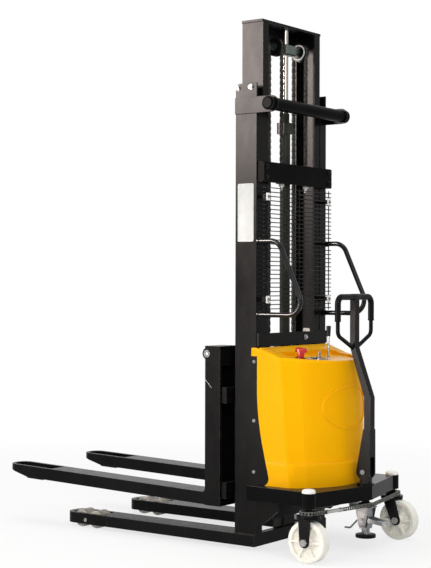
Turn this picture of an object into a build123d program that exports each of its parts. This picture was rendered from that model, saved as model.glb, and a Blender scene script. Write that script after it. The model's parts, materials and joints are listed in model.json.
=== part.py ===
from build123d import *
import os
from math import atan2, cos, degrees, hypot, radians, sin, tan

# Semi-electric stacker with a two-stage mast, in millimetres.
# +X is the truck's left, +Y the operator's side, +Z up, and the forks point along -Y.
# The origin is on the floor, midway between the fork tips and the pedal of the floor lock.
# Lengths below are measured from the rear face of the outer mast unless they say otherwise.

# Fits and gaps
running_clearance = 0.08
seat_clearance = 0.3
slide_gap = 1.0

# Mast
closed_height = 2090.0
post_half_span = 258.0
post_flange_width = 46.0
post_depth = 100.0
post_web = 8.0
post_flange = 10.0
post_top = 1834.0
post_nose_radius = 20.0
pocket_height = 50.0
inner_setback = 2.0
inner_flange_width = 40.0
inner_web = 8.0
inner_flange = 10.0
inner_bottom = 120.0
inner_cap_thickness = 10.0
inner_cap_overhang = 5.0
inner_brow_height = 60.0
inner_brow_thickness = 8.0
inner_sill_height = 45.0
inner_sill_depth = 34.0
tie_bottom = 800.0
tie_height = 52.0
tie_thickness = 10.0
sill_bottom = 112.0
gusset_thickness = 8.0
gusset_neck = 8.0
gusset_neck_z = 640.0
gusset_belly = 62.0
gusset_belly_z = 300.0
gusset_belly_lean = 0.25
gusset_foot = 43.0
gusset_foot_radius = 30.0
bracket_drop = 100.0
bracket_heel = 30.0
bracket_reach = 103.0
bracket_lip = 39.0

# Legs and load rollers
leg_overhang = 9.0
leg_width = 115.0
leg_bottom = 18.0
leg_top = 63.0
leg_wall = 6.0
leg_reach = 991.0
leg_nose_radius = 48.0
leg_nose_length = 221.0
roller_radius = 37.0
roller_width = 68.0
roller_pitch = 80.0
bogie_setback = 113.0
bogie_plate = 6.0
bogie_lobe_radius = 17.0
bogie_slot_end_gap = 8.0
roller_side_gap = 1.0
bogie_side_gap = 2.0
roller_axle_radius = 8.0
roller_edge_radius = 5.0

# Lift cylinder and its foot
cylinder_y = -36.0
cylinder_radius = 21.0
cylinder_bore_radius = 16.0
cylinder_top = 1700.0
cylinder_base_thickness = 10.0
head_width = 60.0
head_depth = 50.0
head_height = 45.0
head_corner_radius = 10.0
gland_radius = 17.0
gland_height = 38.0
rod_radius = 12.0
piston_height = 40.0
piston_gap_below = 60.0
foot_width = 100.0
foot_depth = 50.0
foot_flank_angle = 82.0
foot_top = 165.0
beam_depth = 30.0
beam_top = 68.0

# Chains and pulleys
chain_x = 90.0
chain_width = 16.0
chain_pitch = 25.4
chain_half_thickness = 6.0
chain_waist = 4.2
pulley_drop = 94.0
pulley_setback = 12.0
pulley_pitch_radius = 30.0
pulley_flange_radius = 37.0
pulley_flange = 4.0
pulley_pin_radius = 9.0
pulley_collar_radius = 13.0
pin_washer_radius = 15.0
pin_washer_thickness = 5.0
yoke_half_width = 40.0
yoke_height = 42.0
yoke_depth = 44.0
anchor_rod_radius = 6.0
anchor_nut_radius = 11.0
anchor_nut_height = 10.0
anchor_tail = 24.0
anchor_clevis_height = 34.0

# Cross plate, guard and rails
cross_plate_bottom = 1445.0
cross_plate_height = 80.0
cross_plate_thickness = 8.0
cross_plate_standoff = 24.0
cross_plate_inset = 6.0
spacer_width = 36.0
shelf_width = 48.0
shelf_thickness = 10.0
guard_bottom = 948.0
guard_pitch = 17.0
guard_wires = 29
guard_overhang = 24.0
guard_standoff = 29.5
guard_wire_radius = 2.2
guard_weld = 0.8
guard_inset = 31.0
guard_rail_gap = 6.0
clip_width = 16.0
clip_height = 18.0
clip_seat = 3.0
clip_rows = (985.0, 1388.0)
rail_inset = 15.0
rail_radius = 10.0
rail_top = 1214.0
rail_bottom = 926.0
rail_top_reach = 93.0
rail_bottom_reach = 226.0
rail_bend_radius = 55.0
rail_flange_radius = 14.5
rail_flange_thickness = 5.0

# Push bar
push_bar_y = 72.0
push_bar_z = 1746.0
push_bar_radius = 25.0
push_bar_overhang = 35.0
push_bar_collar = 2.0
push_bar_collar_length = 12.0
push_bar_end_radius = 6.0
strap_thickness = 6.0
strap_height = 64.0
strap_margin = 7.0

# Rear deck, casters and steering
deck_top = 262.0
deck_height = 57.0
deck_wall = 6.0
deck_front_overhang = 42.0
deck_rear_overhang = 53.0
deck_wing_y = -16.0
deck_corner_y = 306.0
housing_radius = 28.0
caster_overhang = 62.0
caster_y = 284.0
stem_radius = 15.0
caster_wheel_radius = 80.0
caster_wheel_width = 44.0
caster_trails = {"left": 0.0, "right": 34.0}
crown_radius = 46.0
crown_thickness = 12.0
crown_gap = 6.0
arm_thickness = 6.0
arm_gap = 6.0
arm_top_width = 54.0
arm_tip_radius = 20.0
caster_axle_radius = 8.0
caster_nut_radius = 14.0
caster_nut_height = 9.0
wheel_hub_radius = 24.0
wheel_rim = 16.0
wheel_recess = 9.0
wheel_ribs = 6
wheel_rib_width = 8.0
wheel_edge_radius = 5.0
cap_radius = 26.0
cap_height = 14.0
cap_edge_radius = 10.0
sprocket_radius = 32.0
sprocket_thickness = 8.0
sprocket_gap = 6.0
sprocket_teeth = 16
sprocket_tooth_depth = 3.0
steering_chain_thickness = 7.0
turnbuckle_start = 60.0
turnbuckle_length = 84.0
turnbuckle_radius = 7.0
turnbuckle_nut_length = 10.0
turnbuckle_nut_radius = 9.0

# Tiller
tiller_y = 345.0
tiller_disc_radius = 34.0
tiller_disc_thickness = 8.0
tiller_pin_height = 51.0
tiller_pin_radius = 8.0
tiller_lug_radius = 19.0
tiller_lug_half_width = 16.5
tiller_lug_gap = 0.5
cheek_thickness = 6.0
cheek_lobe_radius = 30.0
cheek_top = 480.0
arm_lower_y = 360.0
arm_lower_depth = 29.0
arm_foot_z = 372.0
arm_bend_low_z = 605.0
arm_bend_high_z = 800.0
arm_upper_y = 293.0
arm_upper_depth = 23.0
handle_top_z = 996.0
handle_half_width = 128.0
handle_tube_radius = 8.0
handle_bend_radius = 28.0
handle_shoulder_z = 848.0
handle_root_z = 794.0
grip_radius = 12.0
grip_bottom_z = 903.0
grip_post_gap = 12.0

# Hood and controls
hood_side_gap = 0.5
hood_wall = 3.5
hood_head_z = 800.0
hood_brow_y = 6.0
hood_bend_y = 104.0
hood_bend_z = 763.0
hood_tail_y = 320.0
hood_tail_z = 741.0
hood_bend_radius = 60.0
hood_edge_radius = 12.0
hood_facet_width = 42.0
hood_facet_radius = 24.0
hood_foot_facet_y = 157.0
hood_foot_rear_y = 207.0
hood_foot_apex_y = 286.0
hood_head_facet_y = 107.0
hood_head_rear_y = 176.0
hood_head_apex_y = 268.0
hood_rear_flat = 20.0
hood_band_z = 355.0
hood_band_step = 5.0
hood_skirt_radius = 70.0
console_depth = 8.0
console_y = 62.0
console_half_width = 196.0
console_side_length = 92.0
console_apex_length = 186.0
console_corner_radius = 22.0
hood_lip_reach = 19.0
hood_lip_height = 36.0
hood_mast_gap = 4.0
ring_half_width = 158.0
ring_half_height = 88.0
ring_band = 9.0
ring_z = 564.0
ring_relief = 4.0
estop_x = 148.0
estop_y = 135.0
estop_collar_radius = 21.0
estop_collar_height = 7.0
estop_stem_radius = 14.0
estop_stem_height = 23.0
estop_head_radius = 23.0
estop_head_height = 16.0
estop_travel = 5.0
panel_x = 52.0
panel_y = 152.0
panel_width = 84.0
panel_length = 56.0
panel_thickness = 3.0
key_x = 36.0
key_barrel_radius = 9.0
key_barrel_height = 7.0
key_bow_width = 16.0
key_bow_height = 20.0
key_bow_thickness = 3.0
lever_x = -2.0
lever_y = 172.0
lever_ball_radius = 7.6
lever_rod_radius = 4.0
lever_knob_radius = 7.5
lever_knob_taper = 3.0
lever_knob_bottom = 838.0
lever_knob_height = 42.0
lever_tail = 26.0

# Battery and power unit under the hood
battery_width = 205.0
battery_depth = 160.0
battery_height = 220.0
battery_inset = 41.5
battery_y = 102.0
case_edge = 6.0
battery_post_radius = 9.0
battery_post_height = 14.0
tank_width = 190.0
tank_depth = 140.0
tank_height = 170.0
tank_x = 120.0
pump_height = 60.0
pump_width = 88.0
motor_radius = 55.0
motor_height = 165.0

# Carriage and forks
carriage_plate_gap = 7.0
carriage_plate = 12.0
carriage_plate_bottom = 245.0
carriage_plate_top = 605.0
carriage_plate_back = -20.0
guide_roller_gap = 0.4
guide_roller_width = 25.0
guide_pin_radius = 12.0
carriage_roller_low_z = 295.0
carriage_roller_high_z = 555.0
mast_roller_z = 176.0
mast_roller_width = 30.0
bar_inset = 9.0
bar_depth = 24.0
bar_low_bottom = 200.0
bar_low_height = 62.0
bar_high_bottom = 575.0
bar_high_height = 62.0
bar_mid_bottom = 430.0
bar_mid_height = 45.0
upright_x = 100.0
upright_thickness = 12.0
upright_bottom = 180.0
upright_front = -184.0
chain_lug_width = 30.0
chain_lug_height = 20.0
shaft_y = -205.0
shaft_z = 769.0
shaft_radius = 14.0
shaft_overhang = 2.0
shaft_lobe_radius = 24.0
fork_half_span = 301.0
fork_width = 109.0
fork_heel = 142.0
fork_shank_depth = 74.0
fork_wall = 12.0
fork_top_z = 800.0
fork_heel_z = 167.0
fork_blade_height = 50.0
fork_blade_length = 1161.0
fork_blade_wall = 8.0
fork_tilt = 1.6
fork_nose_radius = 48.0
fork_nose_open = 250.0
fork_nose_wall = 14.0
fork_nose_lip = 22.0
fork_nose_slope = 120.0
fork_heel_radius = 14.0

# Floor lock
lock_y = 345.0
lock_bracket_gap = 56.0
lock_plate_top = 178.0
lock_plate_thickness = 5.0
lock_plate_half_width = 34.0
lock_plate_reach = 32.0
lock_body_half_width = 20.0
lock_body_depth = 40.0
lock_body_bottom = 92.0
lock_body_wall = 5.0
lock_ram_radius = 12.0
lock_foot_radius = 39.0
lock_foot_bottom = 57.0
lock_foot_height = 13.0
lock_ram_top = 150.0
pedal_z = 132.0
pedal_pin_radius = 5.0
pedal_plate = 5.0
pedal_tread_length = 46.0
pedal_tread_drop = 14.0
rear_reach = 432.0
release_z = 158.0
release_wire_radius = 3.5
release_pin_radius = 3.0
release_reach = 74.0
release_drop = 76.0
release_tip = 24.0
release_bend_radius = 12.0

# Fasteners
pin_chamfer = 1.5
bolt_head_radius = 9.0
bolt_head_height = 7.0
screw_head_radius = 6.0
screw_head_height = 4.0
mast_bolt_z = 1818.0
mast_bolt_rows = (-89.0, -27.0)
hood_screw_y = -9.0
hood_screw_rows = (311.0, 511.0, 742.0)
breather_x = -100.0
breather_radius = 14.0
breather_height = 13.0

# Places that follow from the sizes above
nose_setback = (fork_blade_height - fork_nose_lip) * sin(radians(fork_tilt))
fork_reach = fork_heel + fork_blade_length * cos(radians(fork_tilt)) - nose_setback
mast_y = (fork_reach - rear_reach) / 2
leg_half_span = post_half_span + leg_overhang
leg_x = leg_half_span - leg_width / 2
leg_seam = leg_reach - leg_nose_length
bogie_y = bogie_setback - leg_reach
rail_x = post_half_span - rail_inset
guard_upright_x = post_half_span - guard_inset
guard_half_width = guard_upright_x + guard_overhang
guard_seat = guard_standoff - clip_seat
cross_plate_half_width = post_half_span - cross_plate_inset
push_bar_half_length = post_half_span + push_bar_overhang
deck_front_half_width = post_half_span + deck_front_overhang
deck_rear_half_width = post_half_span + deck_rear_overhang
caster_x = post_half_span + caster_overhang
hood_half_width = post_half_span + hood_side_gap + hood_wall
lip_bottom = hood_head_z - hood_lip_height
battery_x = battery_inset + battery_width / 2 - hood_half_width
inner_half_span = post_half_span - post_flange_width - slide_gap
carriage_plate_x = inner_half_span - inner_flange_width - carriage_plate_gap - carriage_plate
inner_back = -inner_setback
inner_front = inner_back - post_depth
inner_mid_y = (inner_back + inner_front) / 2
pulley_y = cylinder_y + pulley_setback
pulley_z = closed_height - pulley_drop
yoke_y = (cylinder_y + pulley_y) / 2
rear_run_y = pulley_y + pulley_pitch_radius
front_run_y = pulley_y - pulley_pitch_radius
shelf_top = cross_plate_bottom + shelf_thickness
rear_chain_bottom = shelf_top + anchor_clevis_height
front_chain_bottom = bar_mid_bottom + bar_mid_height / 2
deck_bottom = deck_top - deck_height
roller_z = roller_radius
wheel_z = caster_wheel_radius
crown_bottom = 2 * caster_wheel_radius + crown_gap
crown_top = crown_bottom + crown_thickness
sprocket_bottom = crown_top + sprocket_gap
sprocket_top = sprocket_bottom + sprocket_thickness
tiller_pin_z = deck_top + tiller_pin_height
fork_x = fork_half_span - fork_width / 2
bar_half_width = fork_half_span - bar_inset
shaft_half_length = fork_half_span + shaft_overhang
hood_slope = degrees(atan2(hood_bend_z - hood_tail_z, hood_tail_y - hood_bend_y))
sides = (("left", 1), ("right", -1))


def level(z):
    """Horizontal plane at height z: its x is +X and its y is the distance behind the mast."""
    return Plane(origin=(0, mast_y, z), x_dir=(1, 0, 0), z_dir=(0, 0, 1))


def lengthwise(x):
    """Upright plane along the truck: its x is the distance behind the mast, its y is the height."""
    return Plane(origin=(x, mast_y, 0), x_dir=(0, 1, 0), z_dir=(1, 0, 0))


def crosswise(y):
    """Upright plane across the truck, facing the forks: its x is +X, its y is the height."""
    return Plane(origin=(0, mast_y + y, 0), x_dir=(1, 0, 0), z_dir=(0, -1, 0))


def console_floor(x, y):
    """Plane on the floor of the hood's sunken console, which lies along the rear part of the hood's top."""
    lean = radians(hood_slope)
    z = hood_bend_z - (y - hood_bend_y) * tan(lean) - console_depth / cos(lean)
    return Plane(origin=(x, mast_y + y, z), x_dir=(1, 0, 0), z_dir=(0, sin(lean), cos(lean)))


def add_block(x_range, y_range, z_range, mode=Mode.ADD):
    """Box between the given limits, y measured from the rear face of the mast."""
    (x0, x1), (y0, y1), (z0, z1) = x_range, y_range, z_range
    with Locations(((x0 + x1) / 2, mast_y + (y0 + y1) / 2, (z0 + z1) / 2)):
        Box(x1 - x0, y1 - y0, z1 - z0, mode=mode)


def add_round_x(radius, x_range, y, z, mode=Mode.ADD):
    """Round bar along X."""
    with Locations(Location(((x_range[0] + x_range[1]) / 2, mast_y + y, z), (0, 90, 0))):
        Cylinder(radius, x_range[1] - x_range[0], mode=mode)


def add_round_z(radius, z_range, x, y, mode=Mode.ADD):
    """Round bar along Z."""
    with Locations((x, mast_y + y, (z_range[0] + z_range[1]) / 2)):
        Cylinder(radius, z_range[1] - z_range[0], mode=mode)


def save(builder, label):
    """Label a finished piece and write its file."""
    builder.part.label = label
    export_step(builder.part, f"parts/{label}.step")


os.makedirs("parts", exist_ok=True)


# Base frame: two legs with open roller slots, the rear beam and the foot of the cylinder
slot_half_length = roller_pitch / 2 + roller_radius + bogie_slot_end_gap
slot_half_width = roller_width / 2 + roller_side_gap + bogie_plate + bogie_side_gap
with BuildPart() as base_frame:
    with BuildSketch(level(leg_bottom)) as leg_plan:
        with Locations((leg_x, -leg_reach / 2)):
            Rectangle(leg_width, leg_reach)
        fillet(leg_plan.vertices().group_by(Axis.Y)[0], leg_nose_radius)
    extrude(amount=leg_top - leg_bottom)
    with BuildSketch(level(leg_bottom)):
        with Locations((leg_x, bogie_y)):
            RectangleRounded(2 * slot_half_width, 2 * slot_half_length, roller_edge_radius)
    extrude(amount=leg_top - leg_bottom, mode=Mode.SUBTRACT)
    with BuildSketch(level(leg_bottom)):
        with Locations((leg_x, -(leg_seam + beam_depth) / 2)):
            Rectangle(leg_width - 2 * leg_wall, leg_seam - beam_depth)
    extrude(amount=leg_top - leg_bottom - leg_wall, mode=Mode.SUBTRACT)
    leg_limits = (leg_half_span - leg_width, leg_half_span)
    add_round_x(roller_axle_radius + running_clearance, leg_limits, bogie_y, roller_z, Mode.SUBTRACT)
    mirror(about=Plane.YZ)
    with BuildSketch(lengthwise(-leg_x)):
        with Locations((-beam_depth / 2, (leg_bottom + beam_top) / 2)):
            Rectangle(beam_depth, beam_top - leg_bottom)
            Rectangle(beam_depth - 2 * leg_wall, beam_top - leg_bottom - 2 * leg_wall, mode=Mode.SUBTRACT)
    extrude(amount=2 * leg_x)
    with BuildSketch(crosswise(cylinder_y + foot_depth / 2)):
        with Locations((0, (leg_bottom + foot_top) / 2)):
            Trapezoid(foot_width, foot_top - leg_bottom, foot_flank_angle)
    extrude(amount=foot_depth)
save(base_frame, "base_frame")

# Side gusset: narrow beside the hood, swelling towards the deck; the hood is cut back to the same outline
with BuildSketch(lengthwise(post_half_span - gusset_thickness)) as gusset_outline:
    with BuildLine():
        neck, belly = (gusset_neck, gusset_neck_z), (gusset_belly, gusset_belly_z)
        Polyline((gusset_foot, deck_top), (0, deck_top), (0, lip_bottom), (gusset_neck, lip_bottom), neck)
        Spline(neck, belly, tangents=((0, -1), (gusset_belly_lean, -1)))
        RadiusArc(belly, (gusset_foot, deck_top), gusset_foot_radius)
    make_face()

# Outer mast: two channel posts opening inwards, with ties, side gussets, brackets and guard seats
with BuildPart() as outer_mast:
    with BuildSketch(level(leg_top)):
        with Locations((post_half_span - post_flange_width / 2, -post_depth / 2)):
            Rectangle(post_flange_width, post_depth)
        with Locations((post_half_span - post_web - post_flange_width / 2, -post_depth / 2)):
            Rectangle(post_flange_width, post_depth - 2 * post_flange, mode=Mode.SUBTRACT)
    extrude(amount=post_top - leg_top)
    with BuildSketch(lengthwise(post_half_span - post_flange_width)):
        with Locations((-post_depth + post_nose_radius / 2, post_top - post_nose_radius / 2)):
            Rectangle(post_nose_radius, post_nose_radius)
        with Locations((-post_depth + post_nose_radius, post_top - post_nose_radius)):
            Circle(post_nose_radius, mode=Mode.SUBTRACT)
    extrude(amount=post_flange_width, mode=Mode.SUBTRACT)
    pocket_x = (post_half_span - post_flange_width, post_half_span - post_web)
    add_block(pocket_x, (-post_flange, 0), (post_top - pocket_height, post_top), Mode.SUBTRACT)
    extrude(gusset_outline.sketch, amount=gusset_thickness)
    with BuildSketch(lengthwise(post_half_span - gusset_thickness)):
        with BuildLine():
            Polyline(
                (0, deck_bottom),
                (0, deck_bottom - bracket_drop),
                (bracket_heel, deck_bottom - bracket_drop),
                (bracket_reach, deck_bottom - bracket_lip),
                (bracket_reach, deck_bottom),
                close=True,
            )
        make_face()
    extrude(amount=gusset_thickness)
    for z in clip_rows:
        seat_x = (guard_upright_x - clip_width / 2, guard_upright_x + clip_width / 2)
        add_block(seat_x, (0, guard_seat), (z - clip_height / 2, z + clip_height / 2))
    mirror(about=Plane.YZ)
    tie_limits = (gusset_thickness / 2 - post_half_span, post_half_span - gusset_thickness / 2)
    add_block(tie_limits, (0, tie_thickness), (tie_bottom, tie_bottom + tie_height))
    add_block(tie_limits, (0, tie_thickness), (sill_bottom, deck_top))
save(outer_mast, "outer_mast")

# Cross plate behind the mast, with a shelf for each chain anchor
plate_back = cross_plate_standoff + cross_plate_thickness
with BuildPart() as cross_plate:
    with BuildSketch(crosswise(plate_back)):
        with Locations((0, cross_plate_bottom + cross_plate_height / 2)):
            RectangleRounded(2 * cross_plate_half_width, cross_plate_height, screw_head_radius)
    extrude(amount=cross_plate_thickness)
    for side in (-1, 1):
        spacer_x = sorted((side * cross_plate_half_width, side * (cross_plate_half_width - spacer_width)))
        plate_rows = (cross_plate_bottom, cross_plate_bottom + cross_plate_height)
        add_block(spacer_x, (0, cross_plate_standoff), plate_rows)
        shelf_x = (side * chain_x - shelf_width / 2, side * chain_x + shelf_width / 2)
        shelf_front = rear_run_y - anchor_nut_radius
        add_block(shelf_x, (shelf_front, cross_plate_standoff), (cross_plate_bottom, shelf_top))
        rod_hole = anchor_rod_radius + running_clearance
        add_round_z(rod_hole, (cross_plate_bottom, shelf_top), side * chain_x, rear_run_y, Mode.SUBTRACT)
save(cross_plate, "cross_plate")

# Chain anchors: threaded rods with two nuts below the shelf and a clevis above it
with BuildPart() as chain_anchors:
    for side in (-1, 1):
        clevis_x = (side * chain_x - chain_width / 2, side * chain_x + chain_width / 2)
        clevis_y = (rear_run_y - chain_half_thickness, rear_run_y + chain_half_thickness)
        add_block(clevis_x, clevis_y, (shelf_top, rear_chain_bottom))
        rod_rows = (cross_plate_bottom - anchor_tail, shelf_top)
        add_round_z(anchor_rod_radius, rod_rows, side * chain_x, rear_run_y)
        with BuildSketch(level(cross_plate_bottom)):
            with Locations((side * chain_x, rear_run_y)):
                RegularPolygon(anchor_nut_radius, 6)
        extrude(amount=-anchor_nut_height)
save(chain_anchors, "chain_anchors")

# Guard: level wires on three upright wires, held by four clips on the posts and cut clear of the handrails
guard_top = guard_bottom + guard_pitch * (guard_wires - 1)
upright_offset = guard_standoff + 2 * guard_wire_radius - guard_weld
with BuildPart() as guard_mesh:
    with BuildSketch(lengthwise(-guard_half_width)):
        with Locations((guard_standoff, (guard_bottom + guard_top) / 2)):
            with GridLocations(guard_pitch, guard_pitch, 1, guard_wires):
                RegularPolygon(guard_wire_radius, 6)
    extrude(amount=2 * guard_half_width)
    with BuildSketch(level(guard_bottom - guard_pitch / 2)):
        for x in (-guard_upright_x, 0, guard_upright_x):
            with Locations((x, upright_offset)):
                RegularPolygon(guard_wire_radius, 6)
    extrude(amount=guard_top - guard_bottom + guard_pitch)
    for side in (-1, 1):
        for z in clip_rows:
            clip_x = (side * guard_upright_x - clip_width / 2, side * guard_upright_x + clip_width / 2)
            clip_z = (z - clip_height / 2, z + clip_height / 2)
            add_block(clip_x, (guard_seat, upright_offset), clip_z)
    with BuildSketch(crosswise(upright_offset)):
        with Locations((-rail_x, rail_top), (rail_x, rail_top)):
            Circle(rail_radius + guard_rail_gap)
    extrude(amount=upright_offset, both=True, mode=Mode.SUBTRACT)
save(guard_mesh, "guard_mesh")

# Handrails: one bent tube on each post
for name, side in sides:
    with BuildPart() as handrail:
        with BuildLine(lengthwise(side * rail_x)) as rail_path:
            FilletPolyline(
                (0, rail_top),
                (rail_top_reach, rail_top),
                (rail_bottom_reach, rail_bottom),
                (0, rail_bottom),
                radius=rail_bend_radius,
            )
        with BuildSketch(crosswise(0)):
            with Locations((side * rail_x, rail_top)):
                Circle(rail_radius)
        sweep(path=rail_path.wire())
        with BuildSketch(crosswise(rail_flange_thickness)):
            with Locations((side * rail_x, rail_top), (side * rail_x, rail_bottom)):
                Circle(rail_flange_radius)
        extrude(amount=rail_flange_thickness)
    save(handrail, f"{name}_handrail")

# Push bar across the mast and the two straps that carry it
with BuildPart() as push_bar:
    add_round_x(push_bar_radius, (-push_bar_half_length, push_bar_half_length), push_bar_y, push_bar_z)
    fillet(push_bar.edges().filter_by(GeomType.CIRCLE), push_bar_end_radius)
    collar_end = push_bar_half_length - push_bar_end_radius
    for side in (-1, 1):
        collar_x = sorted((side * collar_end, side * (collar_end - push_bar_collar_length)))
        add_round_x(push_bar_radius + push_bar_collar, collar_x, push_bar_y, push_bar_z)
save(push_bar, "push_bar")

with BuildPart() as push_bar_straps:
    with BuildSketch(lengthwise(post_half_span)) as strap_outline:
        with Locations(((push_bar_y - post_depth) / 2, push_bar_z)):
            Rectangle(push_bar_y + post_depth, strap_height)
        with Locations((push_bar_y, push_bar_z)):
            Circle(push_bar_radius + strap_margin)
            Circle(push_bar_radius + running_clearance, mode=Mode.SUBTRACT)
    extrude(amount=strap_thickness)
    mirror(about=Plane.YZ)
save(push_bar_straps, "push_bar_straps")

# Lift cylinder on its foot, with the clamped head and the gland round the rod
with BuildPart() as lift_cylinder:
    add_round_z(cylinder_radius, (foot_top, cylinder_top), 0, cylinder_y)
    head_y = (cylinder_y - head_depth / 2, cylinder_y + head_depth / 2)
    add_block((-head_width / 2, head_width / 2), head_y, (cylinder_top - head_height, cylinder_top))
    fillet(lift_cylinder.edges().filter_by(Axis.Z), head_corner_radius)
    add_round_z(gland_radius, (cylinder_top, cylinder_top + gland_height), 0, cylinder_y)
    bore_bottom = foot_top + cylinder_base_thickness
    add_round_z(cylinder_bore_radius, (bore_bottom, cylinder_top), 0, cylinder_y, Mode.SUBTRACT)
    gland_rows = (cylinder_top, cylinder_top + gland_height)
    add_round_z(rod_radius + running_clearance, gland_rows, 0, cylinder_y, Mode.SUBTRACT)
save(lift_cylinder, "lift_cylinder")

# Rear deck: a tray open below, with round housings for the caster stems and the tiller
deck_points = [
    (deck_front_half_width, deck_wing_y),
    (deck_rear_half_width, caster_y),
    (deck_rear_half_width - housing_radius / 2, deck_corner_y),
    (0, tiller_y + housing_radius),
]
deck_outline = deck_points + [(-x, y) for x, y in reversed(deck_points[:-1])]
housings = [(caster_x, caster_y), (-caster_x, caster_y), (0, tiller_y)]
front_notch = post_half_span + seat_clearance
notch_wall = tie_thickness + deck_wall
with BuildPart() as platform:
    with BuildSketch(level(deck_bottom)):
        with BuildLine():
            Polyline(*deck_outline, close=True)
        make_face()
        with Locations(*housings):
            Circle(housing_radius)
        with Locations((0, (deck_wing_y + tie_thickness) / 2)):
            Rectangle(2 * front_notch, tie_thickness - deck_wing_y, mode=Mode.SUBTRACT)
    extrude(amount=deck_height)
    with BuildSketch(level(deck_bottom)):
        with BuildLine():
            Polyline(*deck_outline, close=True)
        make_face()
        offset(amount=-deck_wall)
        with Locations((0, (deck_wing_y + notch_wall) / 2)):
            Rectangle(2 * (front_notch + deck_wall), notch_wall - deck_wing_y, mode=Mode.SUBTRACT)
        with Locations(*housings):
            Circle(housing_radius, mode=Mode.SUBTRACT)
    extrude(amount=deck_height - deck_wall, mode=Mode.SUBTRACT)
    for x, y in housings:
        add_round_z(stem_radius + running_clearance, (deck_bottom, deck_top), x, y, Mode.SUBTRACT)
save(platform, "platform")

with BuildPart() as caster_caps:
    for side in (-1, 1):
        add_round_z(cap_radius, (deck_top, deck_top + cap_height), side * caster_x, caster_y)
    fillet(caster_caps.edges().group_by(Axis.Z)[-1], cap_edge_radius)
save(caster_caps, "caster_caps")

# Steering chain: a loop round the two caster sprockets and the tiller sprocket, with a turnbuckle
run_x, run_y = -caster_x, tiller_y - caster_y
run_length = hypot(run_x, run_y)
run_dir = (run_x / run_length, run_y / run_length)
run_out = (run_dir[1], -run_dir[0])
run_start = (caster_x + sprocket_radius * run_out[0], caster_y + sprocket_radius * run_out[1])
turnbuckle_plane = Plane(
    origin=(
        run_start[0] + turnbuckle_start * run_dir[0],
        mast_y + run_start[1] + turnbuckle_start * run_dir[1],
        (sprocket_bottom + sprocket_top) / 2,
    ),
    x_dir=(0, 0, 1),
    z_dir=(run_dir[0], run_dir[1], 0),
)
with BuildPart() as steering_chain:
    with BuildSketch(level(sprocket_bottom)):
        with Locations(*housings):
            Circle(sprocket_radius + steering_chain_thickness / 2)
        make_hull()
    extrude(amount=sprocket_thickness)
    with BuildSketch(level(sprocket_bottom)):
        with Locations(*housings):
            Circle(sprocket_radius - steering_chain_thickness / 2)
        make_hull()
    extrude(amount=sprocket_thickness, mode=Mode.SUBTRACT)
    with BuildSketch(turnbuckle_plane):
        Rectangle(2 * sprocket_thickness, 2 * steering_chain_thickness)
    extrude(amount=turnbuckle_length, mode=Mode.SUBTRACT)
save(steering_chain, "steering_chain")

with BuildPart() as turnbuckle:
    with BuildSketch(turnbuckle_plane):
        Circle(turnbuckle_radius)
    extrude(amount=turnbuckle_length)
    for start in (0, turnbuckle_length - turnbuckle_nut_length):
        with BuildSketch(turnbuckle_plane.offset(start)):
            RegularPolygon(turnbuckle_nut_radius, 6)
        extrude(amount=turnbuckle_nut_length)
save(turnbuckle, "turnbuckle")


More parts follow.
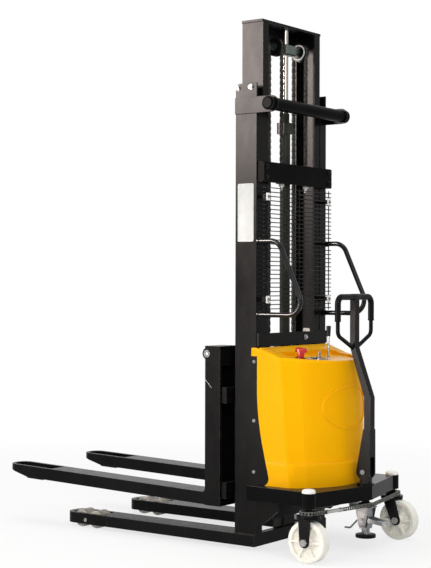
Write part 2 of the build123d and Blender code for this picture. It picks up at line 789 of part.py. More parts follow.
def hood_volume(grow, rim_radius):
    """The hood's closed outer form, moved outwards by grow: skirt, faceted body and sloping top."""
    half = hood_half_width + grow
    facet_x = half - hood_facet_width
    foot = (hood_foot_facet_y + grow, hood_foot_rear_y + grow, hood_foot_apex_y + grow)
    head = (hood_head_facet_y + grow, hood_head_rear_y + grow, hood_head_apex_y + grow)
    with BuildPart() as volume:
        for z, (facet_y, rear_y, apex_y) in ((deck_top, foot), (hood_head_z + hood_lip_height, head)):
            with BuildSketch(level(z)) as plan:
                with BuildLine():
                    side_line = [(half, -hood_lip_reach), (half, facet_y), (facet_x, rear_y)]
                    other_side = [(-x, y) for x, y in reversed(side_line)]
                    Polyline(*other_side, *side_line)
                    rear_line = Line((-hood_rear_flat, apex_y), (hood_rear_flat, apex_y))
                    TangentArc(rear_line @ 1, side_line[-1], tangent=(1, 0))
                    TangentArc(rear_line @ 0, other_side[0], tangent=(-1, 0))
                make_face()
                corners = plan.vertices().group_by(Axis.Y)
                fillet(corners[1] + corners[2], hood_facet_radius + grow)
        loft()
        with BuildSketch(level(deck_top)) as skirt:
            with BuildLine():
                side_line = [(half, -hood_lip_reach), (half, foot[0]), (facet_x, foot[1] + hood_band_step)]
                other_side = [(-x, y) for x, y in reversed(side_line)]
                Polyline(*other_side, *side_line)
                band_y = foot[2] + hood_band_step
                rear_line = Line((-hood_rear_flat, band_y), (hood_rear_flat, band_y))
                TangentArc(rear_line @ 1, side_line[-1], tangent=(1, 0))
                TangentArc(rear_line @ 0, other_side[0], tangent=(-1, 0))
            make_face()
            corners = skirt.vertices().group_by(Axis.Y)
            fillet(corners[1] + corners[2], hood_skirt_radius + grow)
        extrude(amount=hood_band_z + grow - deck_top)
        with BuildSketch(lengthwise(-half)):
            with BuildLine():
                top_line = FilletPolyline(
                    (-2 * hood_lip_reach, hood_head_z + grow),
                    (hood_brow_y, hood_head_z + grow),
                    (hood_bend_y, hood_bend_z + grow),
                    (hood_tail_y, hood_tail_z + grow),
                    radius=hood_bend_radius,
                )
                above = hood_head_z + 2 * hood_lip_height
                Polyline(top_line @ 1, (hood_tail_y, above), (-2 * hood_lip_reach, above), top_line @ 0)
            make_face()
        extrude(amount=2 * half, mode=Mode.SUBTRACT)
        upper_faces = volume.faces().filter_by(lambda face: face.center().Z > ring_z + ring_half_height)
        top_faces = upper_faces.filter_by(lambda face: face.normal_at().Z > 0.5)
        rim = ShapeList()
        for edge in top_faces.edges():
            at_front = edge.center().Y < mast_y - hood_lip_reach + slide_gap
            across = abs(edge.tangent_at(0.5).X) > 0.99 and abs(edge.tangent_at(0).X) > 0.99
            between = across and edge.center().Y < mast_y + hood_bend_y + hood_bend_radius
            if not at_front and not between:
                rim.append(edge)
        if rim_radius > 0:
            fillet(rim, rim_radius)
    return volume.part


# Sunken console in the hood's top, as the hollow that is cut and as the block left round it
console_line = console_floor(0, console_y)
with BuildSketch(console_line) as console_plan:
    with BuildLine():
        console_side = [(console_half_width, 0), (console_half_width, console_side_length)]
        console_other = [(-x, y) for x, y in reversed(console_side)]
        Polyline(*console_other, *console_side)
        ThreePointArc(console_side[-1], (0, console_apex_length), console_other[0])
    make_face()
    fillet(console_plan.vertices(), console_corner_radius)
with BuildPart() as console_cut:
    extrude(console_plan.sketch, amount=2 * hood_lip_height)
with BuildPart() as console_block:
    with BuildSketch(console_line.offset(-hood_wall)):
        with BuildLine():
            Polyline(*console_other, *console_side)
            ThreePointArc(console_side[-1], (0, console_apex_length), console_other[0])
        make_face()
        offset(amount=hood_wall)
    extrude(amount=2 * hood_lip_height)

# Hood: a moulded shell open to the mast and to the deck, with a raised oval ring behind
hood_relief = hood_volume(ring_relief, 0)
hood_front = tie_thickness + hood_mast_gap
with BuildPart() as hood_inside:
    add(hood_volume(-hood_wall, hood_edge_radius - hood_wall))
    add(console_block.part, mode=Mode.SUBTRACT)
with BuildPart() as ring:
    with BuildSketch(crosswise(hood_tail_y)):
        with Locations((0, ring_z)):
            Ellipse(ring_half_width, ring_half_height)
            Ellipse(ring_half_width - ring_band, ring_half_height - ring_band, mode=Mode.SUBTRACT)
    extrude(amount=hood_tail_y - hood_front)
    add(hood_relief, mode=Mode.INTERSECT)
with BuildPart() as hood:
    add(hood_volume(0, hood_edge_radius))
    add(ring.part)
    add(console_cut.part, mode=Mode.SUBTRACT)
    add(hood_inside.part, mode=Mode.SUBTRACT)
    between_posts = (-front_notch, front_notch)
    add_block(between_posts, (-2 * hood_lip_reach, hood_front), (0, closed_height), Mode.SUBTRACT)
    all_across = (-2 * hood_half_width, 2 * hood_half_width)
    add_block(all_across, (-2 * hood_lip_reach, slide_gap), (0, lip_bottom), Mode.SUBTRACT)
    extrude(gusset_outline.sketch, amount=3 * hood_half_width, both=True, mode=Mode.SUBTRACT)
    with BuildSketch(console_floor(lever_x, lever_y)):
        Circle(lever_ball_radius + seat_clearance)
    extrude(amount=-2 * hood_wall, mode=Mode.SUBTRACT)
save(hood, "hood")

# Controls on the hood: panel, key switch, emergency stop and the lift lever
with BuildPart() as control_panel:
    with BuildSketch(console_floor(panel_x, panel_y)):
        RectangleRounded(panel_width, panel_length, key_barrel_radius)
    extrude(amount=panel_thickness)
save(control_panel, "control_panel")

key_plane = console_floor(key_x, panel_y).offset(panel_thickness + seat_clearance)
with BuildPart() as key_switch:
    with BuildSketch(key_plane):
        Circle(key_barrel_radius)
    extrude(amount=key_barrel_height)
    with BuildSketch(key_plane.offset(key_barrel_height)):
        Rectangle(key_bow_width, key_bow_thickness)
    extrude(amount=key_bow_height)
save(key_switch, "key_switch")

with BuildPart() as estop_collar:
    with BuildSketch(console_floor(estop_x, estop_y)):
        Circle(estop_collar_radius)
        Circle(estop_stem_radius + seat_clearance, mode=Mode.SUBTRACT)
    extrude(amount=estop_collar_height)
save(estop_collar, "estop_collar")

estop_plane = console_floor(estop_x, estop_y).offset(estop_travel + seat_clearance)
with BuildPart() as estop_button:
    with BuildSketch(estop_plane):
        Circle(estop_stem_radius)
    extrude(amount=estop_stem_height)
    with BuildSketch(estop_plane.offset(estop_stem_height)):
        Circle(estop_head_radius)
    extrude(amount=estop_head_height)
    fillet(estop_button.edges().sort_by(Axis.Z)[-1], estop_head_height / 3)
save(estop_button, "estop_button")

lever_plane = console_floor(lever_x, lever_y)
lever_z = lever_plane.origin.Z
with BuildPart() as lift_lever:
    add_round_z(lever_rod_radius, (lever_z - lever_tail, lever_knob_bottom), lever_x, lever_y)
    with Locations((lever_x, mast_y + lever_y, lever_z - hood_wall / 2)):
        Sphere(lever_ball_radius)
save(lift_lever, "lift_lever")

with BuildPart() as lever_knob:
    with BuildSketch(level(lever_knob_bottom)):
        with Locations((lever_x, lever_y)):
            Circle(lever_knob_radius)
    extrude(amount=lever_knob_height, taper=-lever_knob_taper)
    fillet(lever_knob.edges().group_by(Axis.Z)[-1], lever_knob_radius / 2)
save(lever_knob, "lever_knob")

# Battery and power unit standing on the deck under the hood
with BuildPart() as battery:
    battery_x_limits = (battery_x - battery_width / 2, battery_x + battery_width / 2)
    battery_y_limits = (battery_y - battery_depth / 2, battery_y + battery_depth / 2)
    add_block(battery_x_limits, battery_y_limits, (deck_top, deck_top + battery_height))
    lid_edges = battery.edges().group_by(Axis.Z)[-1]
    chamfer(lid_edges, case_edge)
    for post_x in (battery_x - battery_width / 4, battery_x + battery_width / 4):
        post_rows = (deck_top + battery_height, deck_top + battery_height + battery_post_height)
        add_round_z(battery_post_radius, post_rows, post_x, battery_y)
save(battery, "battery")

with BuildPart() as power_unit:
    tank_x_limits = (tank_x - tank_width / 2, tank_x + tank_width / 2)
    tank_y_limits = (battery_y - tank_depth / 2, battery_y + tank_depth / 2)
    tank_top = deck_top + tank_height
    add_block(tank_x_limits, tank_y_limits, (deck_top, tank_top))
    fillet(power_unit.edges().filter_by(Axis.Z), case_edge)
    pump_half = pump_width / 2
    pump_x = (tank_x - pump_half, tank_x + pump_half)
    add_block(pump_x, (battery_y - pump_half, battery_y + pump_half), (tank_top, tank_top + pump_height))
    motor_rows = (tank_top + pump_height, tank_top + pump_height + motor_height)
    add_round_z(motor_radius, motor_rows, tank_x, battery_y)
    fillet(power_unit.edges().sort_by(Axis.Z)[-1], case_edge)
save(power_unit, "power_unit")

# Fasteners on the mast, and the breather cap on its tie
with BuildPart() as mast_fasteners:
    with BuildSketch(lengthwise(post_half_span)):
        for y in mast_bolt_rows:
            with Locations((y, mast_bolt_z)):
                RegularPolygon(bolt_head_radius, 6)
    extrude(amount=bolt_head_height)
    with BuildSketch(lengthwise(post_half_span)):
        for z in hood_screw_rows:
            with Locations((hood_screw_y, z)):
                RegularPolygon(screw_head_radius, 8)
    extrude(amount=screw_head_height)
    mirror(about=Plane.YZ)
save(mast_fasteners, "mast_fasteners")

with BuildPart() as breather_cap:
    cap_base = tie_bottom + tie_height
    add_round_z(breather_radius, (cap_base, cap_base + breather_height), breather_x, tie_thickness / 2)
    fillet(breather_cap.edges().group_by(Axis.Z)[-1], breather_height / 2)
save(breather_cap, "breather_cap")

# Inner mast: two channel posts, the top plate with its brow, the sill and the stub pins of its rollers
mast_roller_inner = post_half_span - post_flange_width + guide_roller_gap
mast_roller_x = (mast_roller_inner, mast_roller_inner + mast_roller_width)
with BuildPart() as inner_mast:
    with BuildSketch(level(inner_bottom)):
        with Locations((inner_half_span - inner_flange_width / 2, inner_mid_y)):
            Rectangle(inner_flange_width, post_depth)
        with Locations((inner_half_span - inner_web - inner_flange_width / 2, inner_mid_y)):
            Rectangle(inner_flange_width, post_depth - 2 * inner_flange, mode=Mode.SUBTRACT)
    extrude(amount=closed_height - inner_bottom)
    pin_x = (inner_half_span - inner_web, mast_roller_x[1])
    add_round_x(guide_pin_radius, pin_x, inner_mid_y, mast_roller_z)
    mirror(about=Plane.YZ)
    across = (-inner_half_span, inner_half_span)
    cap_rows = (closed_height - inner_cap_thickness, closed_height)
    cap_x = (-inner_half_span - inner_cap_overhang, inner_half_span + inner_cap_overhang)
    add_block(cap_x, (inner_front, inner_back), cap_rows)
    brow_rows = (closed_height - inner_brow_height, closed_height)
    add_block(across, (inner_front, inner_front + inner_brow_thickness), brow_rows)
    sill_rows = (inner_bottom, inner_bottom + inner_sill_height)
    add_block(across, (inner_front, inner_front + inner_sill_depth), sill_rows)
save(inner_mast, "inner_mast")

with BuildPart() as inner_mast_rollers:
    mast_roller_radius = post_depth / 2 - post_flange - guide_roller_gap - inner_setback
    add_round_x(mast_roller_radius, mast_roller_x, inner_mid_y, mast_roller_z)
    bore = guide_pin_radius + running_clearance
    add_round_x(bore, mast_roller_x, inner_mid_y, mast_roller_z, Mode.SUBTRACT)
    mirror(about=Plane.YZ)
save(inner_mast_rollers, "inner_mast_rollers")

# Piston rod under the top plate, with its piston inside the tube
with BuildPart() as piston_rod:
    piston_bottom = foot_top + cylinder_base_thickness + piston_gap_below
    rod_rows = (piston_bottom, closed_height - inner_cap_thickness)
    add_round_z(rod_radius, rod_rows, 0, cylinder_y)
    piston_rows = (piston_bottom, piston_bottom + piston_height)
    add_round_z(cylinder_bore_radius - running_clearance, piston_rows, 0, cylinder_y)
save(piston_rod, "piston_rod")

# Pulley yoke on the rod, with a pin for each pulley
pulley_half_width = chain_width / 2 + running_clearance + pulley_flange
pulley_outer_x = chain_x + pulley_half_width + seat_clearance
with BuildPart() as pulley_yoke:
    with BuildSketch(lengthwise(-yoke_half_width)):
        with Locations((yoke_y, pulley_z)):
            RectangleRounded(yoke_depth, yoke_height, yoke_depth / 4)
    extrude(amount=2 * yoke_half_width)
    add_round_x(pulley_pin_radius, (-pulley_outer_x, pulley_outer_x), pulley_y, pulley_z)
    collar_end = chain_x - pulley_half_width - seat_clearance
    add_round_x(pulley_collar_radius, (-collar_end, collar_end), pulley_y, pulley_z)
    for side in (-1, 1):
        washer = sorted((side * pulley_outer_x, side * (pulley_outer_x + pin_washer_thickness)))
        add_round_x(pin_washer_radius, washer, pulley_y, pulley_z)
    yoke_rows = (pulley_z - yoke_height, pulley_z + yoke_height)
    add_round_z(rod_radius + running_clearance, yoke_rows, 0, cylinder_y, Mode.SUBTRACT)
save(pulley_yoke, "pulley_yoke")

groove_radius = pulley_pitch_radius - chain_half_thickness - seat_clearance
for name, side in sides:
    with BuildPart() as pulley:
        hub_x = (side * chain_x - pulley_half_width, side * chain_x + pulley_half_width)
        add_round_x(groove_radius, hub_x, pulley_y, pulley_z)
        for x0 in (hub_x[0], hub_x[1] - pulley_flange):
            add_round_x(pulley_flange_radius, (x0, x0 + pulley_flange), pulley_y, pulley_z)
        add_round_x(pulley_pin_radius + running_clearance, hub_x, pulley_y, pulley_z, Mode.SUBTRACT)
    save(pulley, f"{name}_pulley")


def chain_outline(y, bottom, top):
    """Side outline of a leaf chain: wide at each pin and waisted between pins."""
    count = round((top - bottom) / chain_pitch)
    step = (top - bottom) / (2 * count)
    halves = [chain_half_thickness if i % 2 == 0 else chain_waist for i in range(2 * count + 1)]
    near = [(y - half, bottom + i * step) for i, half in enumerate(halves)]
    far = [(y + half, bottom + i * step) for i, half in enumerate(halves)]
    return near + far[::-1]


# Lift chains: the runs behind and before the pulleys, and the turns over them
for label, run, bottom in (
    ("rear_chains", rear_run_y, rear_chain_bottom),
    ("front_chains", front_run_y, front_chain_bottom),
):
    with BuildPart() as chains:
        with BuildSketch(lengthwise(chain_x - chain_width / 2)):
            with BuildLine():
                Polyline(*chain_outline(run, bottom, pulley_z), close=True)
            make_face()
        extrude(amount=chain_width)
        mirror(about=Plane.YZ)
    save(chains, label)

with BuildPart() as chain_wraps:
    with BuildSketch(lengthwise(chain_x - chain_width / 2)):
        with Locations((pulley_y, pulley_z)):
            Circle(pulley_pitch_radius + chain_half_thickness)
            Circle(pulley_pitch_radius - chain_half_thickness, mode=Mode.SUBTRACT)
        with Locations((pulley_y, pulley_z - pulley_pitch_radius)):
            Rectangle(4 * pulley_pitch_radius, 2 * pulley_pitch_radius, mode=Mode.SUBTRACT)
    extrude(amount=chain_width)
    mirror(about=Plane.YZ)
save(chain_wraps, "chain_wraps")

# Carriage: side plates with roller pins, three bars, and two uprights for the fork shaft
bar_back = -fork_heel + seat_clearance + bar_depth
carriage_roller_x = (
    inner_half_span - inner_flange_width + guide_roller_gap,
    inner_half_span - inner_flange_width + guide_roller_gap + guide_roller_width,
)
carriage_bars = (
    (bar_half_width, bar_low_bottom, bar_low_height),
    (bar_half_width, bar_high_bottom, bar_high_height),
    (upright_x + upright_thickness, bar_mid_bottom, bar_mid_height),
)
with BuildPart() as carriage_frame:
    with BuildSketch(lengthwise(carriage_plate_x)) as side_plate:
        plate_front = -fork_heel + seat_clearance
        plate_mid_z = (carriage_plate_bottom + carriage_plate_top) / 2
        with Locations(((plate_front + carriage_plate_back) / 2, plate_mid_z)):
            Rectangle(carriage_plate_back - plate_front, carriage_plate_top - carriage_plate_bottom)
        fillet(side_plate.vertices().group_by(Axis.Y)[-1], bar_depth / 2)
    extrude(amount=carriage_plate)
    for z in (carriage_roller_low_z, carriage_roller_high_z):
        pin_x = (carriage_plate_x, carriage_roller_x[1])
        add_round_x(guide_pin_radius, pin_x, inner_mid_y, z)
    with BuildSketch(lengthwise(upright_x)):
        with BuildLine():
            Polyline(
                (bar_back, upright_bottom),
                (upright_front, upright_bottom),
                (upright_front, shaft_z - 2 * shaft_lobe_radius),
                (shaft_y - shaft_lobe_radius, shaft_z),
            )
            ThreePointArc(
                (shaft_y - shaft_lobe_radius, shaft_z),
                (shaft_y, shaft_z + shaft_lobe_radius),
                (shaft_y + shaft_lobe_radius, shaft_z),
            )
            Polyline(
                (shaft_y + shaft_lobe_radius, shaft_z),
                (bar_back, bar_high_bottom + bar_high_height),
                (bar_back, upright_bottom),
            )
        make_face()
    extrude(amount=upright_thickness)
    chain_lug_x = (chain_x - chain_lug_width / 2, chain_x + chain_lug_width / 2)
    lug_back = front_run_y + chain_half_thickness + bar_depth / 4
    lug_rows = (front_chain_bottom - chain_lug_height, front_chain_bottom)
    add_block(chain_lug_x, (plate_front + bar_depth / 2, lug_back), lug_rows)
    mirror(about=Plane.YZ)
    for half, bottom, height in carriage_bars:
        add_block((-half, half), (plate_front, bar_back), (bottom, bottom + height))
    shaft_hole = shaft_radius + running_clearance
    add_round_x(shaft_hole, (-shaft_half_length, shaft_half_length), shaft_y, shaft_z, Mode.SUBTRACT)
save(carriage_frame, "carriage_frame")

with BuildPart() as fork_shaft:
    add_round_x(shaft_radius, (-shaft_half_length, shaft_half_length), shaft_y, shaft_z)
    chamfer(fork_shaft.edges().filter_by(GeomType.CIRCLE), pin_chamfer)
save(fork_shaft, "fork_shaft")

for label, roller_row in (
    ("carriage_lower_rollers", carriage_roller_low_z),
    ("carriage_upper_rollers", carriage_roller_high_z),
):
    with BuildPart() as guide_rollers:
        guide_radius = post_depth / 2 - inner_flange - guide_roller_gap
        add_round_x(guide_radius, carriage_roller_x, inner_mid_y, roller_row)
        bore = guide_pin_radius + running_clearance
        add_round_x(bore, carriage_roller_x, inner_mid_y, roller_row, Mode.SUBTRACT)
        mirror(about=Plane.YZ)
    save(guide_rollers, label)

# Forks: an upright shank hung on the shaft, and a tilted blade with an open nose
tilt = radians(fork_tilt)
for name, side in sides:
    centre = side * fork_x
    heel = (centre, mast_y - fork_heel, fork_heel_z)
    blade_plane = Plane(origin=heel, x_dir=(1, 0, 0), z_dir=(0, sin(tilt), cos(tilt)))
    with BuildPart() as fork:
        with BuildSketch(blade_plane) as blade_plan:
            with Locations((0, -(fork_wall + fork_blade_length) / 2)):
                Rectangle(fork_width, fork_blade_length - fork_wall)
            fillet(blade_plan.vertices().group_by(Axis.Y)[0], fork_nose_radius)
        extrude(amount=fork_blade_height)
        with BuildSketch(blade_plane):
            hollow_length = fork_blade_length - fork_nose_open - fork_shank_depth
            with Locations((0, -fork_shank_depth - hollow_length / 2)):
                Rectangle(fork_width - 2 * fork_blade_wall, hollow_length)
        extrude(amount=fork_blade_height - fork_blade_wall, mode=Mode.SUBTRACT)
        with BuildSketch(blade_plane.offset(fork_blade_wall)) as nose_plan:
            nose_length = fork_nose_open - fork_nose_wall
            with Locations((0, -fork_blade_length + fork_nose_wall + nose_length / 2)):
                Rectangle(fork_width - 2 * fork_nose_wall, nose_length)
            fillet(nose_plan.vertices().group_by(Axis.Y)[0], fork_nose_radius - fork_nose_wall)
        extrude(amount=fork_blade_height, mode=Mode.SUBTRACT)
        nose_plane = Plane(origin=heel, x_dir=blade_plane.y_dir, z_dir=(1, 0, 0))
        with BuildSketch(nose_plane.offset(-fork_width)):
            with BuildLine():
                Polyline(
                    (-fork_blade_length - fork_nose_wall, -fork_nose_lip),
                    (-fork_blade_length - fork_nose_wall, fork_blade_height - fork_nose_lip),
                    (-fork_blade_length, fork_blade_height - fork_nose_lip),
                    (-fork_blade_length + fork_nose_slope, 0),
                    (-fork_blade_length + fork_nose_slope, -fork_nose_lip),
                    close=True,
                )
            make_face()
        extrude(amount=2 * fork_width, mode=Mode.SUBTRACT)
        shank_x = (centre - fork_width / 2, centre + fork_width / 2)
        shank_y = (-fork_heel - fork_shank_depth, -fork_heel)
        with BuildSketch(lengthwise(shank_x[0])) as shank_profile:
            with Locations(((shank_y[0] + shank_y[1]) / 2, (fork_heel_z + fork_top_z) / 2)):
                Rectangle(fork_shank_depth, fork_top_z - fork_heel_z)
            with Locations((shaft_y, shaft_z)):
                Circle(shaft_lobe_radius)
        extrude(amount=fork_width)
        pocket_x = (shank_x[0] + fork_wall, shank_x[1] - fork_wall)
        pocket_y = (shank_y[0] + fork_wall, shank_y[1])
        pocket_z = (fork_heel_z + fork_blade_height + fork_wall, shaft_z - 2 * shaft_lobe_radius)
        add_block(pocket_x, pocket_y, pocket_z, Mode.SUBTRACT)
        add_round_x(shaft_radius + running_clearance, shank_x, shaft_y, shaft_z, Mode.SUBTRACT)
        heel_z = fork_heel_z + (fork_blade_height + fork_shank_depth * sin(tilt)) / cos(tilt)
        heel_line = fork.edges().filter_by(Axis.X).sort_by_distance((centre, mast_y + shank_y[0], heel_z))
        fillet(heel_line[0], fork_heel_radius)
    save(fork, f"{name}_fork")

# Casters: a crown with stem and sprocket, two arms, the axle and the ribbed wheel
arm_inner = caster_wheel_width / 2 + arm_gap
tooth_radius = sprocket_radius - steering_chain_thickness / 2 - seat_clearance
for name, side in sides:
    x, y = side * caster_x, caster_y
    axle_y = caster_y + caster_trails[name]
    with BuildPart() as caster_fork:
        add_round_z(crown_radius, (crown_bottom, crown_top), x, y)
        with BuildSketch(level(crown_top)):
            with Locations((x, y)):
                Circle(tooth_radius - sprocket_tooth_depth)
        extrude(amount=sprocket_gap)
        with BuildSketch(level(sprocket_bottom)):
            with Locations((x, y)):
                Circle(tooth_radius - sprocket_tooth_depth)
                with PolarLocations(tooth_radius - sprocket_tooth_depth, sprocket_teeth):
                    Rectangle(2 * sprocket_tooth_depth, sprocket_tooth_depth)
        extrude(amount=sprocket_thickness)
        add_round_z(stem_radius, (sprocket_top, deck_top - seat_clearance), x, y)
        for inner in (arm_inner, -arm_inner - arm_thickness):
            with BuildSketch(lengthwise(x + inner)):
                with Locations((y, crown_top - crown_thickness / 4)):
                    Rectangle(arm_top_width, crown_thickness / 2)
                with Locations((axle_y, wheel_z)):
                    Circle(arm_tip_radius)
                make_hull()
            extrude(amount=arm_thickness)
        arms = (x - arm_inner - arm_thickness, x + arm_inner + arm_thickness)
        add_round_x(caster_axle_radius + running_clearance, arms, axle_y, wheel_z, Mode.SUBTRACT)
    save(caster_fork, f"{name}_caster_fork")

    with BuildPart() as caster_axle:
        add_round_x(caster_axle_radius, arms, axle_y, wheel_z)
        for face, direction in ((arms[0], -1), (arms[1], 1)):
            with BuildSketch(lengthwise(face)):
                with Locations((axle_y, wheel_z)):
                    RegularPolygon(caster_nut_radius, 6)
            extrude(amount=direction * caster_nut_height)
    save(caster_axle, f"{name}_caster_axle")

    with BuildPart() as caster_wheel:
        tread = (x - caster_wheel_width / 2, x + caster_wheel_width / 2)
        add_round_x(caster_wheel_radius, tread, axle_y, wheel_z)
        fillet(caster_wheel.edges().filter_by(GeomType.CIRCLE), wheel_edge_radius)
        for face, direction in ((tread[0], 1), (tread[1], -1)):
            with BuildSketch(lengthwise(face)):
                with Locations((axle_y, wheel_z)):
                    Circle(caster_wheel_radius - wheel_rim)
                    Circle(wheel_hub_radius, mode=Mode.SUBTRACT)
                    with PolarLocations(0, wheel_ribs):
                        Rectangle(2 * caster_wheel_radius, wheel_rib_width, mode=Mode.SUBTRACT)
            extrude(amount=direction * wheel_recess, mode=Mode.SUBTRACT)
        hub = (x - arm_inner + seat_clearance, x + arm_inner - seat_clearance)
        add_round_x(wheel_hub_radius, hub, axle_y, wheel_z)
        add_round_x(caster_axle_radius + running_clearance, hub, axle_y, wheel_z, Mode.SUBTRACT)
    save(caster_wheel, f"{name}_caster_wheel")

# Leg ends: a rocking bogie with two load rollers in each slot
for name, side in sides:
    x = side * leg_x
    plate_inner = roller_width / 2 + roller_side_gap
    with BuildPart() as bogie:
        for inner in (plate_inner, -plate_inner - bogie_plate):
            with BuildSketch(lengthwise(x + inner)):
                with Locations((bogie_y, roller_z)):
                    SlotCenterToCenter(roller_pitch, 2 * bogie_lobe_radius)
            extrude(amount=bogie_plate)
        plates = (x - plate_inner - bogie_plate, x + plate_inner + bogie_plate)
        for axle_offset in (-roller_pitch / 2, roller_pitch / 2):
            add_round_x(roller_axle_radius, plates, bogie_y + axle_offset, roller_z)
        pin_limits = (x - leg_width / 2, x + leg_width / 2)
        add_round_x(roller_axle_radius, (pin_limits[0], plates[0]), bogie_y, roller_z)
        add_round_x(roller_axle_radius, (plates[1], pin_limits[1]), bogie_y, roller_z)
    save(bogie, f"{name}_bogie")

    for place, axle_offset in (("front", -roller_pitch / 2), ("rear", roller_pitch / 2)):
        with BuildPart() as load_roller:
            tread = (x - roller_width / 2, x + roller_width / 2)
            add_round_x(roller_radius, tread, bogie_y + axle_offset, roller_z)
            fillet(load_roller.edges().filter_by(GeomType.CIRCLE), roller_edge_radius)
            bore = roller_axle_radius + running_clearance
            add_round_x(bore, tread, bogie_y + axle_offset, roller_z, Mode.SUBTRACT)
        save(load_roller, f"{name}_{place}_load_roller")

# Tiller: a turning base with sprocket and lug, the pin, the bent arm with its loop, and the grips
with BuildPart() as tiller_base:
    disc_rows = (deck_top + seat_clearance, deck_top + tiller_disc_thickness)
    add_round_z(tiller_disc_radius, disc_rows, 0, tiller_y)
    add_round_z(stem_radius, (sprocket_top, deck_top + seat_clearance), 0, tiller_y)
    with BuildSketch(level(sprocket_bottom)):
        with Locations((0, tiller_y)):
            Circle(tooth_radius - sprocket_tooth_depth)
            with PolarLocations(tooth_radius - sprocket_tooth_depth, sprocket_teeth):
                Rectangle(2 * sprocket_tooth_depth, sprocket_tooth_depth)
    extrude(amount=sprocket_thickness)
    with BuildSketch(lengthwise(-tiller_lug_half_width)):
        lug_bottom = deck_top + tiller_disc_thickness / 2
        with Locations((tiller_y, (lug_bottom + tiller_pin_z) / 2)):
            Rectangle(2 * tiller_lug_radius, tiller_pin_z - lug_bottom)
        with Locations((tiller_y, tiller_pin_z)):
            Circle(tiller_lug_radius)
            Circle(tiller_pin_radius + running_clearance, mode=Mode.SUBTRACT)
    extrude(amount=2 * tiller_lug_half_width)
save(tiller_base, "tiller_base")

cheek_inner = tiller_lug_half_width + tiller_lug_gap
cheek_outer = cheek_inner + cheek_thickness
with BuildPart() as tiller_pin:
    pin_x = (-cheek_outer - bolt_head_height / 2, cheek_outer + bolt_head_height / 2)
    add_round_x(tiller_pin_radius, pin_x, tiller_y, tiller_pin_z)
    chamfer(tiller_pin.edges().filter_by(GeomType.CIRCLE), pin_chamfer)
save(tiller_pin, "tiller_pin")

lower_front = arm_lower_y - arm_lower_depth / 2
lower_back = arm_lower_y + arm_lower_depth / 2
upper_front = arm_upper_y - arm_upper_depth / 2
upper_back = arm_upper_y + arm_upper_depth / 2
handle_plane = crosswise(arm_upper_y)
with BuildPart() as tiller_arm:
    with BuildSketch(lengthwise(-cheek_inner)):
        with BuildLine():
            Polyline(
                (lower_front, arm_foot_z),
                (lower_front, arm_bend_low_z),
                (upper_front, arm_bend_high_z),
                (upper_front, handle_top_z),
                (upper_back, handle_top_z),
                (upper_back, arm_bend_high_z),
                (lower_back, arm_bend_low_z),
                (lower_back, arm_foot_z),
                close=True,
            )
        make_face()
    extrude(amount=2 * cheek_inner)
    for inner in (cheek_inner, -cheek_outer):
        with BuildSketch(lengthwise(inner)):
            with Locations((tiller_y, tiller_pin_z)):
                Circle(cheek_lobe_radius)
            with Locations((arm_lower_y, cheek_top - arm_lower_depth / 2)):
                Rectangle(arm_lower_depth, arm_lower_depth)
            make_hull()
            with Locations((tiller_y, tiller_pin_z)):
                Circle(tiller_pin_radius + running_clearance, mode=Mode.SUBTRACT)
        extrude(amount=cheek_thickness)
    with BuildLine(handle_plane) as loop_path:
        loop_points = [
            (cheek_inner / 2, handle_root_z),
            (handle_half_width, handle_shoulder_z),
            (handle_half_width, handle_top_z),
            (-handle_half_width, handle_top_z),
            (-handle_half_width, handle_shoulder_z),
            (-cheek_inner / 2, handle_root_z),
        ]
        FilletPolyline(*loop_points, radius=handle_bend_radius)
    loop_wire = loop_path.wire()
    with BuildSketch(Plane(origin=loop_wire @ 0, z_dir=loop_wire % 0)):
        Circle(handle_tube_radius)
    sweep(path=loop_wire)
save(tiller_arm, "tiller_arm")

with BuildPart() as tiller_grips:
    with BuildLine(handle_plane) as grip_path:
        grip_points = [
            (handle_half_width, grip_bottom_z),
            (handle_half_width, handle_top_z),
            (cheek_inner + grip_post_gap, handle_top_z),
        ]
        FilletPolyline(*grip_points, radius=handle_bend_radius)
    grip_wire = grip_path.wire()
    with BuildSketch(Plane(origin=grip_wire @ 0, z_dir=grip_wire % 0)):
        Circle(grip_radius)
        Circle(handle_tube_radius + running_clearance, mode=Mode.SUBTRACT)
    sweep(path=grip_wire)
    mirror(about=Plane.YZ)
save(tiller_grips, "tiller_grips")

# Floor lock: a bracket with its housing, the pedal, the foot on its ram and the release wire
bracket_front = lock_y - lock_bracket_gap
ram_hole = lock_ram_radius + running_clearance
lock_front = lock_y - lock_body_depth / 2
lock_back = lock_y + lock_body_depth / 2
lock_ceiling = lock_plate_top - lock_plate_thickness
pedal_inner = lock_body_half_width + seat_clearance
pedal_outer = pedal_inner + pedal_plate
release_y = lock_y - lock_body_depth / 4
release_inner = -lock_body_half_width - seat_clearance
release_outer = release_inner - 2 * release_wire_radius
with BuildPart() as floor_lock_body:
    plate_x = (-lock_plate_half_width, lock_plate_half_width)
    add_block(plate_x, (bracket_front, lock_y + lock_plate_reach), (lock_ceiling, lock_plate_top))
    hanger_y = (bracket_front, bracket_front + lock_plate_thickness)
    add_block(plate_x, hanger_y, (lock_ceiling, deck_top - deck_wall))
    with BuildSketch(lengthwise(-lock_body_half_width)):
        with BuildLine():
            Polyline(
                (lock_front, lock_ceiling),
                (lock_back, lock_ceiling),
                (lock_back, pedal_z - lock_body_half_width),
                (lock_y + lock_ram_radius + lock_body_wall, lock_body_bottom),
                (lock_y - lock_ram_radius - lock_body_wall, lock_body_bottom),
                (lock_front, pedal_z),
                close=True,
            )
        make_face()
    extrude(amount=2 * lock_body_half_width)
    add_round_x(pedal_pin_radius, (-pedal_outer, pedal_outer), lock_y, pedal_z)
    add_round_x(release_pin_radius, (release_outer, 0), release_y, release_z)
    add_round_z(ram_hole, (lock_body_bottom, lock_ram_top + lock_plate_thickness), 0, lock_y, Mode.SUBTRACT)
